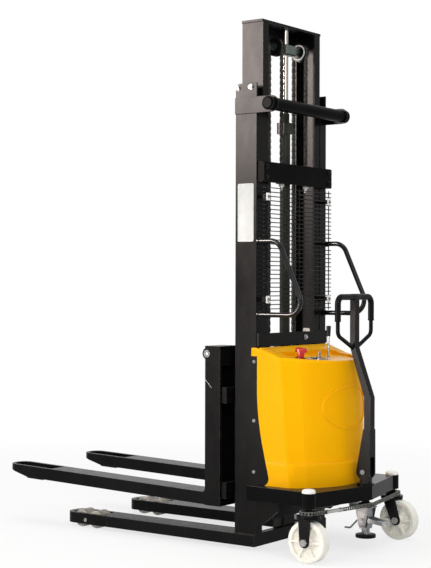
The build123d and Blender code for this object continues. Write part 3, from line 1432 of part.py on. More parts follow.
save(floor_lock_body, "floor_lock_body")

with BuildPart() as floor_lock_foot:
    add_round_z(lock_foot_radius, (lock_foot_bottom, lock_foot_bottom + lock_foot_height), 0, lock_y)
    chamfer(floor_lock_foot.edges().group_by(Axis.Z)[-1], lock_foot_height / 2)
    add_round_z(lock_ram_radius, (lock_foot_bottom + lock_foot_height / 2, lock_ram_top), 0, lock_y)
save(floor_lock_foot, "floor_lock_foot")

with BuildPart() as floor_lock_pedal:
    tread_front = rear_reach - pedal_tread_length
    tread_z = pedal_z - pedal_tread_drop
    for inner in (pedal_inner, -pedal_outer):
        with BuildSketch(lengthwise(inner)):
            with Locations((lock_y, pedal_z)):
                Circle(2 * pedal_pin_radius)
            with Locations((rear_reach - pedal_plate, tread_z)):
                Rectangle(2 * pedal_plate, 2 * pedal_plate)
            make_hull()
            with Locations((lock_y, pedal_z)):
                Circle(pedal_pin_radius + running_clearance, mode=Mode.SUBTRACT)
        extrude(amount=pedal_plate)
    add_block((-pedal_outer, pedal_outer), (tread_front, rear_reach), (tread_z, tread_z + pedal_plate))
save(floor_lock_pedal, "floor_lock_pedal")

with BuildPart() as floor_lock_release:
    with BuildLine(lengthwise((release_inner + release_outer) / 2)) as release_path:
        FilletPolyline(
            (release_y, release_z),
            (release_y - release_reach, release_z - release_drop),
            (release_y - release_reach - release_tip, release_z - release_drop),
            radius=release_bend_radius,
        )
    release_wire = release_path.wire()
    with BuildSketch(Plane(origin=release_wire @ 0, z_dir=release_wire % 0)):
        Circle(release_wire_radius)
    sweep(path=release_wire)
    hub_x = (release_outer, release_inner)
    add_round_x(2 * release_wire_radius, hub_x, release_y, release_z)
    add_round_x(release_pin_radius + running_clearance, hub_x, release_y, release_z, Mode.SUBTRACT)
save(floor_lock_release, "floor_lock_release")
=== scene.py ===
import bpy
import json
from math import cos, hypot, pi, radians, sin
from mathutils import Matrix, Vector

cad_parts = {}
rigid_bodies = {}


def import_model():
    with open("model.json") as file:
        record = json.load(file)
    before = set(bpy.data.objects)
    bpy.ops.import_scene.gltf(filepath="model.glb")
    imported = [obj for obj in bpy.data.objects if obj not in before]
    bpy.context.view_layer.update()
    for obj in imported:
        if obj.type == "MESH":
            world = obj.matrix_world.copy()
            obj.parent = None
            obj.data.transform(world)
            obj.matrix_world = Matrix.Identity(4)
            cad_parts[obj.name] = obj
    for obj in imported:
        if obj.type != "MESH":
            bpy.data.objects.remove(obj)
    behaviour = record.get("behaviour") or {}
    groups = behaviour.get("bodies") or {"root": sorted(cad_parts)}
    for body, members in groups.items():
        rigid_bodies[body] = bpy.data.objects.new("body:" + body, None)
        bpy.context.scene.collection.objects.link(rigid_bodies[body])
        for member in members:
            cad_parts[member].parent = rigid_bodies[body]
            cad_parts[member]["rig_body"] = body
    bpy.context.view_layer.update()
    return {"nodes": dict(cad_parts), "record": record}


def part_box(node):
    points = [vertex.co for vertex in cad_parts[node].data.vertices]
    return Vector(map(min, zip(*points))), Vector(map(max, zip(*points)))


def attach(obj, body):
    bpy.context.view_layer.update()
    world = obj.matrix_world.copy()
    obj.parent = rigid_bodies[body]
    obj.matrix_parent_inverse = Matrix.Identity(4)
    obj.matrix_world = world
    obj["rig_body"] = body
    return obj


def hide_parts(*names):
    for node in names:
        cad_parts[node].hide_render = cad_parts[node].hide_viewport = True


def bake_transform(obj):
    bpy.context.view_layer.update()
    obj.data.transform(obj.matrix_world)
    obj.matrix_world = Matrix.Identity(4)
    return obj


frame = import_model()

print("frame loaded:", len(frame["nodes"]), "nodes")

mastRear = 0.4348828  # rear face of the outer mast along Y, in metres
lockY = 345.0  # the tiller's pin and the floor lock under it, in millimetres behind the mast
squareOn = 0.9  # a picked face looks at least this much along its axis
hairline = 0.0001  # metres, less than this counts as no distance
quarterTurn = (0, pi / 2, 0)  # lays a cylinder along X
handed = (("left", 1), ("right", -1))
slotOf = {part["node"]: part["material_slot"] for part in frame["record"]["subparts"]}


def spot(x, y, z):  # millimetres from the mast's rear face to the scene's metres
    return Vector((x / 1000, mastRear + y / 1000, z / 1000))


def deselectAll():
    if bpy.context.object and bpy.context.object.mode != "OBJECT":
        bpy.ops.object.mode_set(mode="OBJECT")
    bpy.ops.object.select_all(action="DESELECT")


def takeUp(piece):  # the only selected object, and the active one
    deselectAll()
    piece.select_set(True)
    bpy.context.view_layer.objects.active = piece


def looking(axis, way=0):  # picks faces that look one way along an axis, or both ways for 0
    def test(centre, normal):
        part = normal[axis]
        return (part * way if way else abs(part)) > squareOn
    return test


facesUp, facesDown, facesEnd = looking(2, 1), looking(2, -1), looking(2)
facesLeft, facesSide = looking(0, 1), looking(0)


def openOn(piece, kind, test):  # edit mode with the points, edges or faces that pass selected
    takeUp(piece)
    mesh = piece.data
    modes = tuple(kind == each for each in ("point", "edge", "face"))
    bpy.context.tool_settings.mesh_select_mode = modes
    for parts in (mesh.polygons, mesh.edges, mesh.vertices):
        parts.foreach_set("select", [False] * len(parts))
    if kind == "point":
        for point in mesh.vertices:
            point.select = bool(test(point.co))
    elif kind == "edge":
        for edge in mesh.edges:
            first, second = (mesh.vertices[index].co for index in edge.vertices)
            edge.select = bool(test(first, second))
    else:
        for face in mesh.polygons:
            face.select = bool(test(face.center, face.normal))
    bpy.ops.object.mode_set(mode="EDIT")


def closeUp():
    bpy.ops.object.mode_set(mode="OBJECT")


def insetBy(steps):  # sets the picked faces in by (border, height) steps, in millimetres
    for border, height in steps:
        bpy.ops.mesh.inset(thickness=border / 1000, depth=height / 1000)


def sink(piece, test, steps):
    openOn(piece, "face", test)
    insetBy(steps)
    closeUp()


def roundOff(piece, test, reach, segments):  # a bevel on the picked edges
    openOn(piece, "edge", test)
    bpy.ops.mesh.bevel(offset=reach / 1000, segments=segments)
    closeUp()


def finishWith(piece, kind, **settings):  # one modifier, set and applied
    takeUp(piece)
    extra = piece.modifiers.new(kind.title(), kind)
    for key, value in settings.items():
        setattr(extra, key, value)
    bpy.ops.object.modifier_apply(modifier=extra.name)


def softEdges(piece, width, segments, angle):  # a bevel on every edge sharper than the angle
    finishWith(piece, "BEVEL", width=width / 1000, segments=segments, limit_method="ANGLE",
               angle_limit=radians(angle))


def repeatBy(piece, count, step):  # a row of copies, each a step in metres from the last
    finishWith(piece, "ARRAY", count=count, use_relative_offset=False, use_constant_offset=True,
               constant_offset_displace=step)


def drum(corners, radius, depth, at=(0, 0, 0), turn=(0, 0, 0)):  # sizes in mm, place in metres
    deselectAll()
    bpy.ops.mesh.primitive_cylinder_add(vertices=corners, radius=radius / 1000,
                                        depth=depth / 1000, location=at, rotation=turn)
    bpy.ops.object.transform_apply(location=True, rotation=True, scale=False)
    return bpy.context.object


def block(width, depth, height, at=(0, 0, 0)):  # sizes in mm, place in metres
    deselectAll()
    bpy.ops.mesh.primitive_cube_add(size=0.001, location=at)
    bpy.context.object.scale = (width, depth, height)
    bpy.ops.object.transform_apply(location=True, rotation=False, scale=True)
    return bpy.context.object


def joinUp(first, second):  # the second object becomes part of the first
    takeUp(first)
    second.select_set(True)
    bpy.ops.object.join()


def settle(piece, name, coat, smooth=30):  # place goes into the mesh, then shading and name
    takeUp(piece)
    bpy.ops.object.transform_apply(location=True, rotation=True, scale=True)
    bpy.ops.object.shade_smooth_by_angle(angle=radians(smooth))
    piece.name = name
    piece.data.name = name
    piece.data.materials.clear()
    piece.data.materials.append(coat)


def fixTo(piece, body):
    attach(piece, body)


def copiesOf(pattern, name, places, keep=False):  # the pattern at every place, as one object
    deselectAll()
    made = []
    for place in places:
        twin = bpy.data.objects.new(name, pattern.data.copy())
        twin.data.transform(place)
        bpy.context.scene.collection.objects.link(twin)
        twin.select_set(True)
        made.append(twin)
    bpy.context.view_layer.objects.active = made[0]
    if len(made) > 1:
        bpy.ops.object.join()
    made[0].name = name
    made[0].data.name = name
    if not keep:
        bpy.data.objects.remove(pattern)
    return made[0]


def facing(at, way):  # takes a pattern that points along Z to a place, pointing along way
    turn = Vector((0, 0, 1)).rotation_difference(Vector(way))
    return Matrix.Translation(at) @ turn.to_matrix().to_4x4()


# Finishes, all of them from nodes on Object coordinates

def newFinish(name, **settings):
    finish = bpy.data.materials.new(name)
    finish.use_nodes = True
    tree = finish.node_tree
    shader = tree.nodes["Principled BSDF"]
    for key, value in settings.items():
        shader.inputs[key.replace("_", " ")].default_value = value
    where = tree.nodes.new("ShaderNodeTexCoord").outputs["Object"]
    return finish, tree, shader, where


def stretched(tree, where, scale):
    mapping = tree.nodes.new("ShaderNodeMapping")
    mapping.inputs["Scale"].default_value = scale
    tree.links.new(where, mapping.inputs["Vector"])
    return mapping.outputs["Vector"]


def noiseAt(tree, where, scale, detail, rough=0.55):
    noise = tree.nodes.new("ShaderNodeTexNoise")
    noise.inputs["Scale"].default_value = scale
    noise.inputs["Detail"].default_value = detail
    noise.inputs["Roughness"].default_value = rough
    tree.links.new(where, noise.inputs["Vector"])
    return noise.outputs[0]


def between(tree, value, low, high, lowResult, highResult):
    spread = tree.nodes.new("ShaderNodeMapRange")
    spread.inputs["From Min"].default_value = low
    spread.inputs["From Max"].default_value = high
    spread.inputs["To Min"].default_value = lowResult
    spread.inputs["To Max"].default_value = highResult
    tree.links.new(value, spread.inputs["Value"])
    return spread.outputs["Result"]


def patchy(tree, where, look):  # noise is scale, detail, roughness; its span is spread to a share
    noise = noiseAt(tree, where, *look["noise"])
    return between(tree, noise, *look.get("span", (0.3, 0.7)), *look.get("share", (0.0, 1.0)))


mixSockets = {"share": 0, "low": 6, "high": 7, "result": 2}  # of a Mix node set to colours


def tinted(tree, value, low, high):  # two colours mixed by a value from 0 to 1
    mix = tree.nodes.new("ShaderNodeMix")
    mix.data_type = "RGBA"
    for end, colour in (("low", low), ("high", high)):
        socket = mix.inputs[mixSockets[end]]
        if isinstance(colour, tuple):
            socket.default_value = colour + (1.0,)
        else:
            tree.links.new(colour, socket)
    tree.links.new(value, mix.inputs[mixSockets["share"]])
    return mix.outputs[mixSockets["result"]]


def timesOf(tree, first, second):
    math = tree.nodes.new("ShaderNodeMath")
    math.operation = "MULTIPLY"
    tree.links.new(first, math.inputs[0])
    if isinstance(second, float):
        math.inputs[1].default_value = second
    else:
        tree.links.new(second, math.inputs[1])
    return math.outputs[0]


def upwards(tree, low, high):  # 1 on faces that look up
    flat = tree.nodes.new("ShaderNodeNewGeometry")
    split = tree.nodes.new("ShaderNodeSeparateXYZ")
    tree.links.new(flat.outputs["Normal"], split.inputs[0])
    return between(tree, split.outputs["Z"], low, high, 0.0, 1.0)


def dusted(tree, where, colour, look):  # patches of dust on faces that look up
    dust = timesOf(tree, upwards(tree, *look["faces"]), patchy(tree, where, look))
    return tinted(tree, dust, colour, look["colour"])


# edge wear, made strong enough to serve also as a painted highlight along the edges
edgeWearAndHighlightLook = {"samples": 4, "turn": (0.99, 0.8), "detail": 6.0, "rough": 0.65, "span": (0.42, 0.62)}


def edgeWearAndHighlight(tree, where, colour, look, bare):  # a bare colour along edges, broken up by patches: wear, and on the black paints also a painted edge highlight
    rounded = tree.nodes.new("ShaderNodeBevel")
    rounded.samples = edgeWearAndHighlightLook["samples"]
    rounded.inputs["Radius"].default_value = look["reach"]
    flat = tree.nodes.new("ShaderNodeNewGeometry")
    dot = tree.nodes.new("ShaderNodeVectorMath")
    dot.operation = "DOT_PRODUCT"
    tree.links.new(rounded.outputs["Normal"], dot.inputs[0])
    tree.links.new(flat.outputs["Normal"], dot.inputs[1])
    edge = between(tree, dot.outputs["Value"], *edgeWearAndHighlightLook["turn"], 0.0, 1.0)
    noise = noiseAt(tree, where, look["scale"], edgeWearAndHighlightLook["detail"], edgeWearAndHighlightLook["rough"])
    patches = between(tree, noise, *edgeWearAndHighlightLook["span"], 0.0, 1.0)
    wearAndHighlight = timesOf(tree, timesOf(tree, edge, patches), look["share"])
    return tinted(tree, wearAndHighlight, colour, bare)


def grains(tree, where, rows):  # rows of noise scale, detail, bump strength and depth in metres
    return [(noiseAt(tree, where, scale, detail), strength, depth)
            for scale, detail, strength, depth in rows]


def bumped(tree, shader, heights):  # (value, strength, depth in metres), coarse ones first
    last = None
    for value, strength, depth in heights:
        bump = tree.nodes.new("ShaderNodeBump")
        bump.inputs["Strength"].default_value = strength
        bump.inputs["Distance"].default_value = depth
        tree.links.new(value, bump.inputs["Height"])
        if last:
            tree.links.new(last, bump.inputs["Normal"])
        last = bump.outputs["Normal"]
    tree.links.new(last, shader.inputs["Normal"])


powderLook = {
    "cloud": {"noise": (5.0, 6.0), "span": (0.35, 0.65)},
    "dust": {"faces": (0.75, 1.0), "noise": (16.0, 8.0, 0.7), "span": (0.4, 0.7),
             "share": (0.02, 0.16), "colour": (0.16, 0.155, 0.145)},
    "wearAndHighlight": {"reach": 0.0026, "scale": 42.0, "share": 0.6},
    "smear": {"stretch": (1.0, 1.0, 0.45), "noise": (22.0, 5.0, 0.6), "swing": (-0.02, 0.04)},
    "bumps": ((130.0, 2.0, 0.10, 0.0006), (900.0, 2.0, 0.16, 0.0002)),
}


def powderCoat(name, dark, light, bare, gloss, shine=0.05):
    look, smear = powderLook, powderLook["smear"]
    finish, tree, shader, where = newFinish(name, Specular_IOR_Level=shine)
    colour = tinted(tree, patchy(tree, where, look["cloud"]), dark, light)
    colour = dusted(tree, where, colour, look["dust"])
    colour = edgeWearAndHighlight(tree, where, colour, look["wearAndHighlight"], bare)
    tree.links.new(colour, shader.inputs["Base Color"])
    share = [gloss + swing for swing in smear["swing"]]
    drawn = stretched(tree, where, smear["stretch"])
    rough = patchy(tree, drawn, {"noise": smear["noise"], "share": share})
    tree.links.new(rough, shader.inputs["Roughness"])
    bumped(tree, shader, grains(tree, where, look["bumps"]))
    return finish


hoodLook = {
    "polished": (0.90, 0.985), "shine": (0.015, 0.03), "polishGloss": (1.0, 0.55),
    "cloud": {"noise": (3.5, 5.0)},
    "dark": (0.86, 0.400, 0.0015), "light": (0.92, 0.445, 0.0025),
    "dust": {"faces": (0.8, 1.0), "noise": (22.0, 7.0, 0.7), "span": (0.4, 0.75),
             "share": (0.0, 0.18), "colour": (0.80, 0.62, 0.30)},
    "scuff": {"noise": (30.0, 8.0, 0.75), "span": (0.70, 0.78), "share": (0.0, 0.35)},
    "scuffStretch": (1.0, 1.0, 9.0), "scuffColour": (0.60, 0.27, 0.004),
    "wearAndHighlight": {"reach": 0.003, "scale": 30.0, "share": 0.4}, "bare": (0.94, 0.60, 0.10),
    "gloss": {"noise": (18.0, 6.0), "share": (0.27, 0.40)},
    "skirt": (0.346, 0.358), "skirtBump": (0.9, 0.006),
    "bumps": ((9.0, 1.0, 0.12, 0.004), (750.0, 2.0, 0.12, 0.0002)),
}


def mouldedYellow():
    look = hoodLook
    finish, tree, shader, where = newFinish("mouldedYellow")
    polish = upwards(tree, *look["polished"])  # the top is wiped smooth
    shine = between(tree, polish, 0.0, 1.0, *look["shine"])
    tree.links.new(shine, shader.inputs["Specular IOR Level"])
    colour = tinted(tree, patchy(tree, where, look["cloud"]), look["dark"], look["light"])
    colour = dusted(tree, where, colour, look["dust"])
    scuff = patchy(tree, stretched(tree, where, look["scuffStretch"]), look["scuff"])
    colour = tinted(tree, scuff, colour, look["scuffColour"])
    colour = edgeWearAndHighlight(tree, where, colour, look["wearAndHighlight"], look["bare"])
    tree.links.new(colour, shader.inputs["Base Color"])
    smoother = between(tree, polish, 0.0, 1.0, *look["polishGloss"])
    rough = timesOf(tree, patchy(tree, where, look["gloss"]), smoother)
    tree.links.new(rough, shader.inputs["Roughness"])
    height = tree.nodes.new("ShaderNodeSeparateXYZ")
    tree.links.new(where, height.inputs[0])
    skirtStep = between(tree, height.outputs["Z"], *look["skirt"], 1.0, 0.0)  # rounds the step
    heights = [(skirtStep, *look["skirtBump"])] + grains(tree, where, look["bumps"])
    bumped(tree, shader, heights)
    return finish


metalLook = {
    "brush": (260.0, 4.0, 0.6), "stain": (24.0, 6.0, 0.6), "span": (0.3, 0.7),
    "swing": (-0.05, 0.10), "stainBump": (0.05, 0.001), "brushBump": (0.12, 0.0002),
    "cells": 160.0, "cellColour": (0.34, 0.35, 0.36),
}


def brightMetal(name, low, high, gloss, grain, spangle=0.0):
    look = metalLook
    finish, tree, shader, where = newFinish(name, Metallic=1.0)
    brush = noiseAt(tree, stretched(tree, where, grain), *look["brush"])
    stain = noiseAt(tree, where, *look["stain"])
    colour = tinted(tree, between(tree, stain, *look["span"], 0.0, 1.0), low, high)
    if spangle:
        cells = tree.nodes.new("ShaderNodeTexVoronoi")
        cells.inputs["Scale"].default_value = look["cells"]
        tree.links.new(where, cells.inputs["Vector"])
        flecks = timesOf(tree, cells.outputs["Distance"], spangle)
        colour = tinted(tree, flecks, colour, look["cellColour"])
    tree.links.new(colour, shader.inputs["Base Color"])
    share = [gloss + swing for swing in look["swing"]]
    tree.links.new(between(tree, brush, *look["span"], *share), shader.inputs["Roughness"])
    bumped(tree, shader, [(stain, *look["stainBump"]), (brush, *look["brushBump"])])
    return finish


chainLook = {
    "shine": 0.03, "grime": {"noise": (95.0, 6.0, 0.65), "span": (0.35, 0.65)},
    "gloss": (0.46, 0.26), "bumps": ((420.0, 3.0, 0.15, 0.0003),),
}


def oiledChain(name, low, high):
    look = chainLook
    finish, tree, shader, where = newFinish(name, Specular_IOR_Level=look["shine"])
    grime = patchy(tree, where, look["grime"])
    tree.links.new(tinted(tree, grime, low, high), shader.inputs["Base Color"])
    tree.links.new(between(tree, grime, 0.0, 1.0, *look["gloss"]), shader.inputs["Roughness"])
    bumped(tree, shader, grains(tree, where, look["bumps"]))
    return finish


nylonLook = {
    "settings": {"Subsurface_Weight": 0.12, "Subsurface_Scale": 0.004, "Specular_IOR_Level": 0.12},
    "cloud": {"noise": (30.0, 5.0)},
    "grime": {"noise": (75.0, 8.0, 0.75), "span": (0.56, 0.74), "share": (0.0, 0.45)},
    "gloss": {"noise": (55.0, 6.0), "share": (0.36, 0.55)},
    "bumps": ((170.0, 4.0, 0.12, 0.0006), (900.0, 2.0, 0.10, 0.0002)),
}


def castNylon(name, low, high, grimeColour):
    look = nylonLook
    finish, tree, shader, where = newFinish(name, **look["settings"])
    colour = tinted(tree, patchy(tree, where, look["cloud"]), low, high)
    colour = tinted(tree, patchy(tree, where, look["grime"]), colour, grimeColour)
    tree.links.new(colour, shader.inputs["Base Color"])
    tree.links.new(patchy(tree, where, look["gloss"]), shader.inputs["Roughness"])
    bumped(tree, shader, grains(tree, where, look["bumps"]))
    return finish


plasticLook = {
    "cloud": {"noise": (22.0, 6.0)},
    "dust": {"faces": (0.7, 1.0), "noise": (40.0, 7.0, 0.7), "span": (0.45, 0.75),
             "share": (0.0, 0.2), "colour": (0.3, 0.28, 0.25)},
    "gloss": (60.0, 5.0), "swing": (-0.06, 0.10), "pebble": (2.0, 0.22, 0.0003),
}


def mattPlastic(name, low, high, gloss, pebble, shine):
    look = plasticLook
    finish, tree, shader, where = newFinish(name, Specular_IOR_Level=shine)
    colour = tinted(tree, patchy(tree, where, look["cloud"]), low, high)
    colour = dusted(tree, where, colour, look["dust"])
    tree.links.new(colour, shader.inputs["Base Color"])
    share = [gloss + swing for swing in look["swing"]]
    rough = patchy(tree, where, {"noise": look["gloss"], "share": share})
    tree.links.new(rough, shader.inputs["Roughness"])
    bumped(tree, shader, grains(tree, where, [(pebble, *look["pebble"])]))
    return finish


# the lightest colour here is the worn-edge colour of the black paints, made light enough to double
# as a painted edge highlight
ink, soot, bareSteelAndHighlight = (0.0030, 0.0030, 0.0033), (0.0052, 0.0050, 0.0050), (0.11, 0.107, 0.10)
coats = {
    "black": powderCoat("blackCoat", ink, soot, bareSteelAndHighlight, gloss=0.25),
    "deck": powderCoat("deckCoat", ink, soot, bareSteelAndHighlight, gloss=0.16, shine=0.03),
    # painted shade: a darker, duller copy of the black paint for the rear-facing cross plate and
    # push bar, which carry the same paint as the rest
    "shadedBlack": powderCoat("paintedShadeBlackCoat", (0.0022, 0.0022, 0.0024), (0.0040, 0.0039, 0.0039),
                      (0.09, 0.087, 0.08), gloss=0.30, shine=0.012),
    "rail": powderCoat("railCoat", (0.0030, 0.0030, 0.0035), (0.0052, 0.0050, 0.0055),
                       bareSteelAndHighlight, gloss=0.15, shine=0.20),
    # the lift cylinder's olive base is partly its paint and partly painted reflection, lifted to
    # stand in for the gloss that its low shine no longer gives
    "tube": powderCoat("tubeCoat", (0.018, 0.0185, 0.0145), (0.032, 0.0325, 0.027),
                       bareSteelAndHighlight, gloss=0.25, shine=0.06),
    "wire": powderCoat("wireCoat", (0.0060, 0.0060, 0.0060), (0.0105, 0.0103, 0.0100),
                       (0.16, 0.155, 0.15), gloss=0.30, shine=0.03),
    "yellow": mouldedYellow(),
    "steel": brightMetal("machinedSteel", (0.30, 0.30, 0.29), (0.46, 0.46, 0.45),
                         gloss=0.27, grain=(1.0, 8.0, 1.0)),
    "chrome": brightMetal("chromeRod", (0.25, 0.235, 0.215), (0.34, 0.325, 0.30),
                          gloss=0.16, grain=(1.0, 1.0, 12.0)),
    "zinc": brightMetal("zincPlate", (0.34, 0.35, 0.36), (0.50, 0.51, 0.52),
                        gloss=0.30, grain=(3.0, 1.0, 1.0), spangle=0.5),
    "olive": brightMetal("oliveZinc", (0.055, 0.075, 0.065), (0.095, 0.12, 0.105),
                         gloss=0.36, grain=(1.0, 3.0, 1.0), spangle=0.2),
    "bolt": brightMetal("darkZinc", (0.10, 0.10, 0.102), (0.19, 0.19, 0.195),
                        gloss=0.30, grain=(1.0, 3.0, 1.0), spangle=0.3),
    "chain": oiledChain("oiledChain", (0.016, 0.015, 0.013), (0.085, 0.080, 0.071)),
    "steerChain": oiledChain("cleanChain", (0.06, 0.06, 0.055), (0.22, 0.22, 0.205)),
    "nylon": castNylon("creamNylon", (0.78, 0.76, 0.68), (0.87, 0.855, 0.79), (0.42, 0.39, 0.32)),
    "roller": castNylon("wornRoller", (0.34, 0.315, 0.275), (0.47, 0.44, 0.39),
                        (0.16, 0.145, 0.12)),
    "rubber": mattPlastic("blackRubber", (0.0028, 0.0028, 0.0029), (0.0052, 0.0052, 0.005),
                          gloss=0.36, pebble=520.0, shine=0.06),
    "plastic": mattPlastic("blackPlastic", (0.008, 0.008, 0.009), (0.015, 0.015, 0.016),
                           gloss=0.36, pebble=380.0, shine=0.2),
    "red": mattPlastic("redPlastic", (0.50, 0.008, 0.010), (0.60, 0.014, 0.014),
                       gloss=0.24, pebble=240.0, shine=0.5),
    "dull": mattPlastic("dullSteel", (0.26, 0.265, 0.265), (0.35, 0.355, 0.355),
                        gloss=0.5, pebble=300.0, shine=0.02),
    "grey": mattPlastic("greyPanel", (0.17, 0.22, 0.28), (0.29, 0.35, 0.41),
                        gloss=0.24, pebble=460.0, shine=0.4),
    "cap": mattPlastic("whiteCap", (0.78, 0.78, 0.76), (0.86, 0.86, 0.84),
                       gloss=0.34, pebble=300.0, shine=0.1),
    "pale": mattPlastic("palePlate", (0.56, 0.56, 0.545), (0.64, 0.64, 0.625),
                        gloss=0.34, pebble=300.0, shine=0.06),
}
coatFor = {
    "black_paint": "black", "yellow_plastic": "yellow", "bright_steel": "steel",
    "chain_steel": "chain", "chrome_rod": "chrome", "zinc": "zinc", "black_rubber": "rubber",
    "nylon": "nylon", "red_plastic": "red", "grey_plastic": "grey", "black_plastic": "plastic",
}
ownCoat = {
    "platform": "deck", "lift_cylinder": "tube", "guard_mesh": "wire", "floor_lock_body": "bolt",
    "floor_lock_release": "dull", "pulley_yoke": "olive", "caster_caps": "cap",
    # the cross plate and push bar take the painted-shade copy of the black paint
    "cross_plate": "shadedBlack", "push_bar": "shadedBlack",
}
pairCoat = {
    "handrail": "rail", "pulley": "black", "caster_axle": "dull", "front_load_roller": "roller",
    "rear_load_roller": "roller",
}
for word in ("left", "right"):
    ownCoat.update({word + "_" + node: coat for node, coat in pairCoat.items()})
for node, obj in frame["nodes"].items():
    obj.data.materials.clear()
    obj.data.materials.append(coats[ownCoat.get(node, coatFor[slotOf[node]])])
print("finishes:", len(coats))

# Camera at the photograph's station point
camera = {
    "place": (4.75691, 3.51667, 1.05465),
    "right": (-0.588937, 0.80817467, 0.00263001),
    "up": (0.00018172, -0.00312181, 0.99999511),
    "forward": (-0.80817893, -0.5889346, -0.00169169),
    "lens": 88.45, "sensor": 36.0, "reach": 200.0,
}
eye = bpy.data.cameras.new("photoCamera")
eye.sensor_fit = "VERTICAL"
eye.sensor_height = camera["sensor"]
eye.lens = camera["lens"]
eye.clip_end = camera["reach"]
eyePiece = bpy.data.objects.new("photoCamera", eye)
bpy.context.scene.collection.objects.link(eyePiece)
right, up, forward = (Vector(camera[way]) for way in ("right", "up", "forward"))
turn = Matrix((right, up, -forward)).transposed().to_4x4()
eyePiece.matrix_world = Matrix.Translation(camera["place"]) @ turn
bpy.context.scene.camera = eyePiece

# Studio: pale floor, white surroundings for the camera and for reflections, five soft lamps.
# The sheen boxes show only in gloss, and the warm box everywhere but in gloss.
studio = {
    "ambient": 0.5, "floorWhite": 0.74, "fadeFrom": 1.2, "fadeTo": 3.6,
    "floorColour": (0.8, 0.8, 0.8), "floorSize": 60.0, "floorDrop": 0.0005,
}
lamps = {
    "warmBox": {"place": (5.0, -3.1, 2.5), "aim": (0.2, 0.3, 1.5), "size": (2.4, 1.8),
                "watts": 200.0, "colour": (1.0, 0.96, 0.93), "glossy": False},
    "sheenBox": {"place": (4.7, -2.85, 2.85), "aim": (0.2, 0.3, 1.7), "size": (1.7, 1.7),
                 "watts": 800.0, "colour": (1.0, 0.87, 0.81), "diffuse": False},
    "lowSheenBox": {"place": (4.9, -1.55, 0.45), "aim": (0.0, 0.75, 0.5), "size": (0.7, 0.9),
                    "watts": 170.0, "colour": (1.0, 0.88, 0.8), "diffuse": False},
    "rearBox": {"place": (3.5, 4.2, 3.0), "aim": (0.0, 0.6, 0.7), "size": (2.6, 2.0),
                "watts": 105.0, "colour": (1.0, 0.99, 0.97)},
    "topBox": {"place": (0.2, 0.4, 4.6), "aim": (0.0, 0.3, 0.0), "size": (3.0, 3.0),
               "watts": 90.0, "colour": (1.0, 1.0, 1.0)},
}
for name, lamp in lamps.items():
    glow = bpy.data.lights.new(name, "AREA")
    glow.shape = "RECTANGLE"
    glow.size, glow.size_y = lamp["size"]
    glow.energy = lamp["watts"]
    glow.color = lamp["colour"]
    stand = bpy.data.objects.new(name, glow)
    bpy.context.scene.collection.objects.link(stand)
    way = Vector(lamp["aim"]) - Vector(lamp["place"])
    turn = way.to_track_quat("-Z", "Y").to_matrix().to_4x4()
    stand.matrix_world = Matrix.Translation(lamp["place"]) @ turn
    stand.visible_diffuse = lamp.get("diffuse", True)
    stand.visible_glossy = lamp.get("glossy", True)


def whiteRays(tree):  # 1 for rays from the camera, in reflections and through glass
    path = tree.nodes.new("ShaderNodeLightPath")
    last = path.outputs["Is Camera Ray"]
    for ray in ("Is Glossy Ray", "Is Transmission Ray"):
        most = tree.nodes.new("ShaderNodeMath")
        most.operation = "MAXIMUM"
        tree.links.new(last, most.inputs[0])
        tree.links.new(path.outputs[ray], most.inputs[1])
        last = most.outputs[0]
    return last


room = bpy.data.worlds.new("studioRoom")
room.use_nodes = True
bpy.context.scene.world = room
tree = room.node_tree
backing = tree.nodes["Background"]
backing.inputs["Color"].default_value = (1.0, 1.0, 1.0, 1.0)
level = between(tree, whiteRays(tree), 0.0, 1.0, studio["ambient"], 1.0)
tree.links.new(level, backing.inputs["Strength"])

deselectAll()
bpy.ops.mesh.primitive_plane_add(size=studio["floorSize"], location=(0, 0, -studio["floorDrop"]))
floor = bpy.context.object
floor.name = "studioFloor"
paper = bpy.data.materials.new("floorPaper")
paper.use_nodes = True
tree = paper.node_tree
tree.nodes.remove(tree.nodes["Principled BSDF"])
matt = tree.nodes.new("ShaderNodeBsdfDiffuse")
matt.inputs["Color"].default_value = studio["floorColour"] + (1.0,)
shine = tree.nodes.new("ShaderNodeEmission")
both = tree.nodes.new("ShaderNodeMixShader")
where = tree.nodes.new("ShaderNodeTexCoord").outputs["Object"]
away = tree.nodes.new("ShaderNodeVectorMath")
away.operation = "LENGTH"
tree.links.new(where, away.inputs[0])
plainWhite = between(tree, away.outputs["Value"], studio["fadeFrom"], studio["fadeTo"],
                     studio["floorWhite"], 1.0)
tree.links.new(timesOf(tree, whiteRays(tree), plainWhite), both.inputs[0])
tree.links.new(matt.outputs[0], both.inputs[1])
tree.links.new(shine.outputs[0], both.inputs[2])
tree.links.new(both.outputs[0], tree.nodes["Material Output"].inputs["Surface"])
floor.data.materials.append(paper)
bpy.context.scene.view_settings.view_transform = "Standard"
print("camera, lamps and floor set")

# Eased edges on the plain plate work: a merged copy of each node, bevelled, stands for it
easedEdges = {
    "outer_mast": 1.8, "inner_mast": 1.5, "base_frame": 1.8, "platform": 2.2,
    "carriage_frame": 1.5, "left_fork": 2.0, "right_fork": 2.0, "cross_plate": 1.2,
    "push_bar_straps": 1.0, "tiller_arm": 1.5, "tiller_base": 1.0, "left_caster_fork": 1.0,
    "right_caster_fork": 1.0, "left_bogie": 0.8, "right_bogie": 0.8, "pulley_yoke": 1.2,
    "floor_lock_body": 0.6, "floor_lock_pedal": 0.6, "control_panel": 0.6,
}
easing = {"merge": 0.000005, "flat": 0.3, "segments": 2, "sharp": 32, "smooth": 38, "weight": 80}


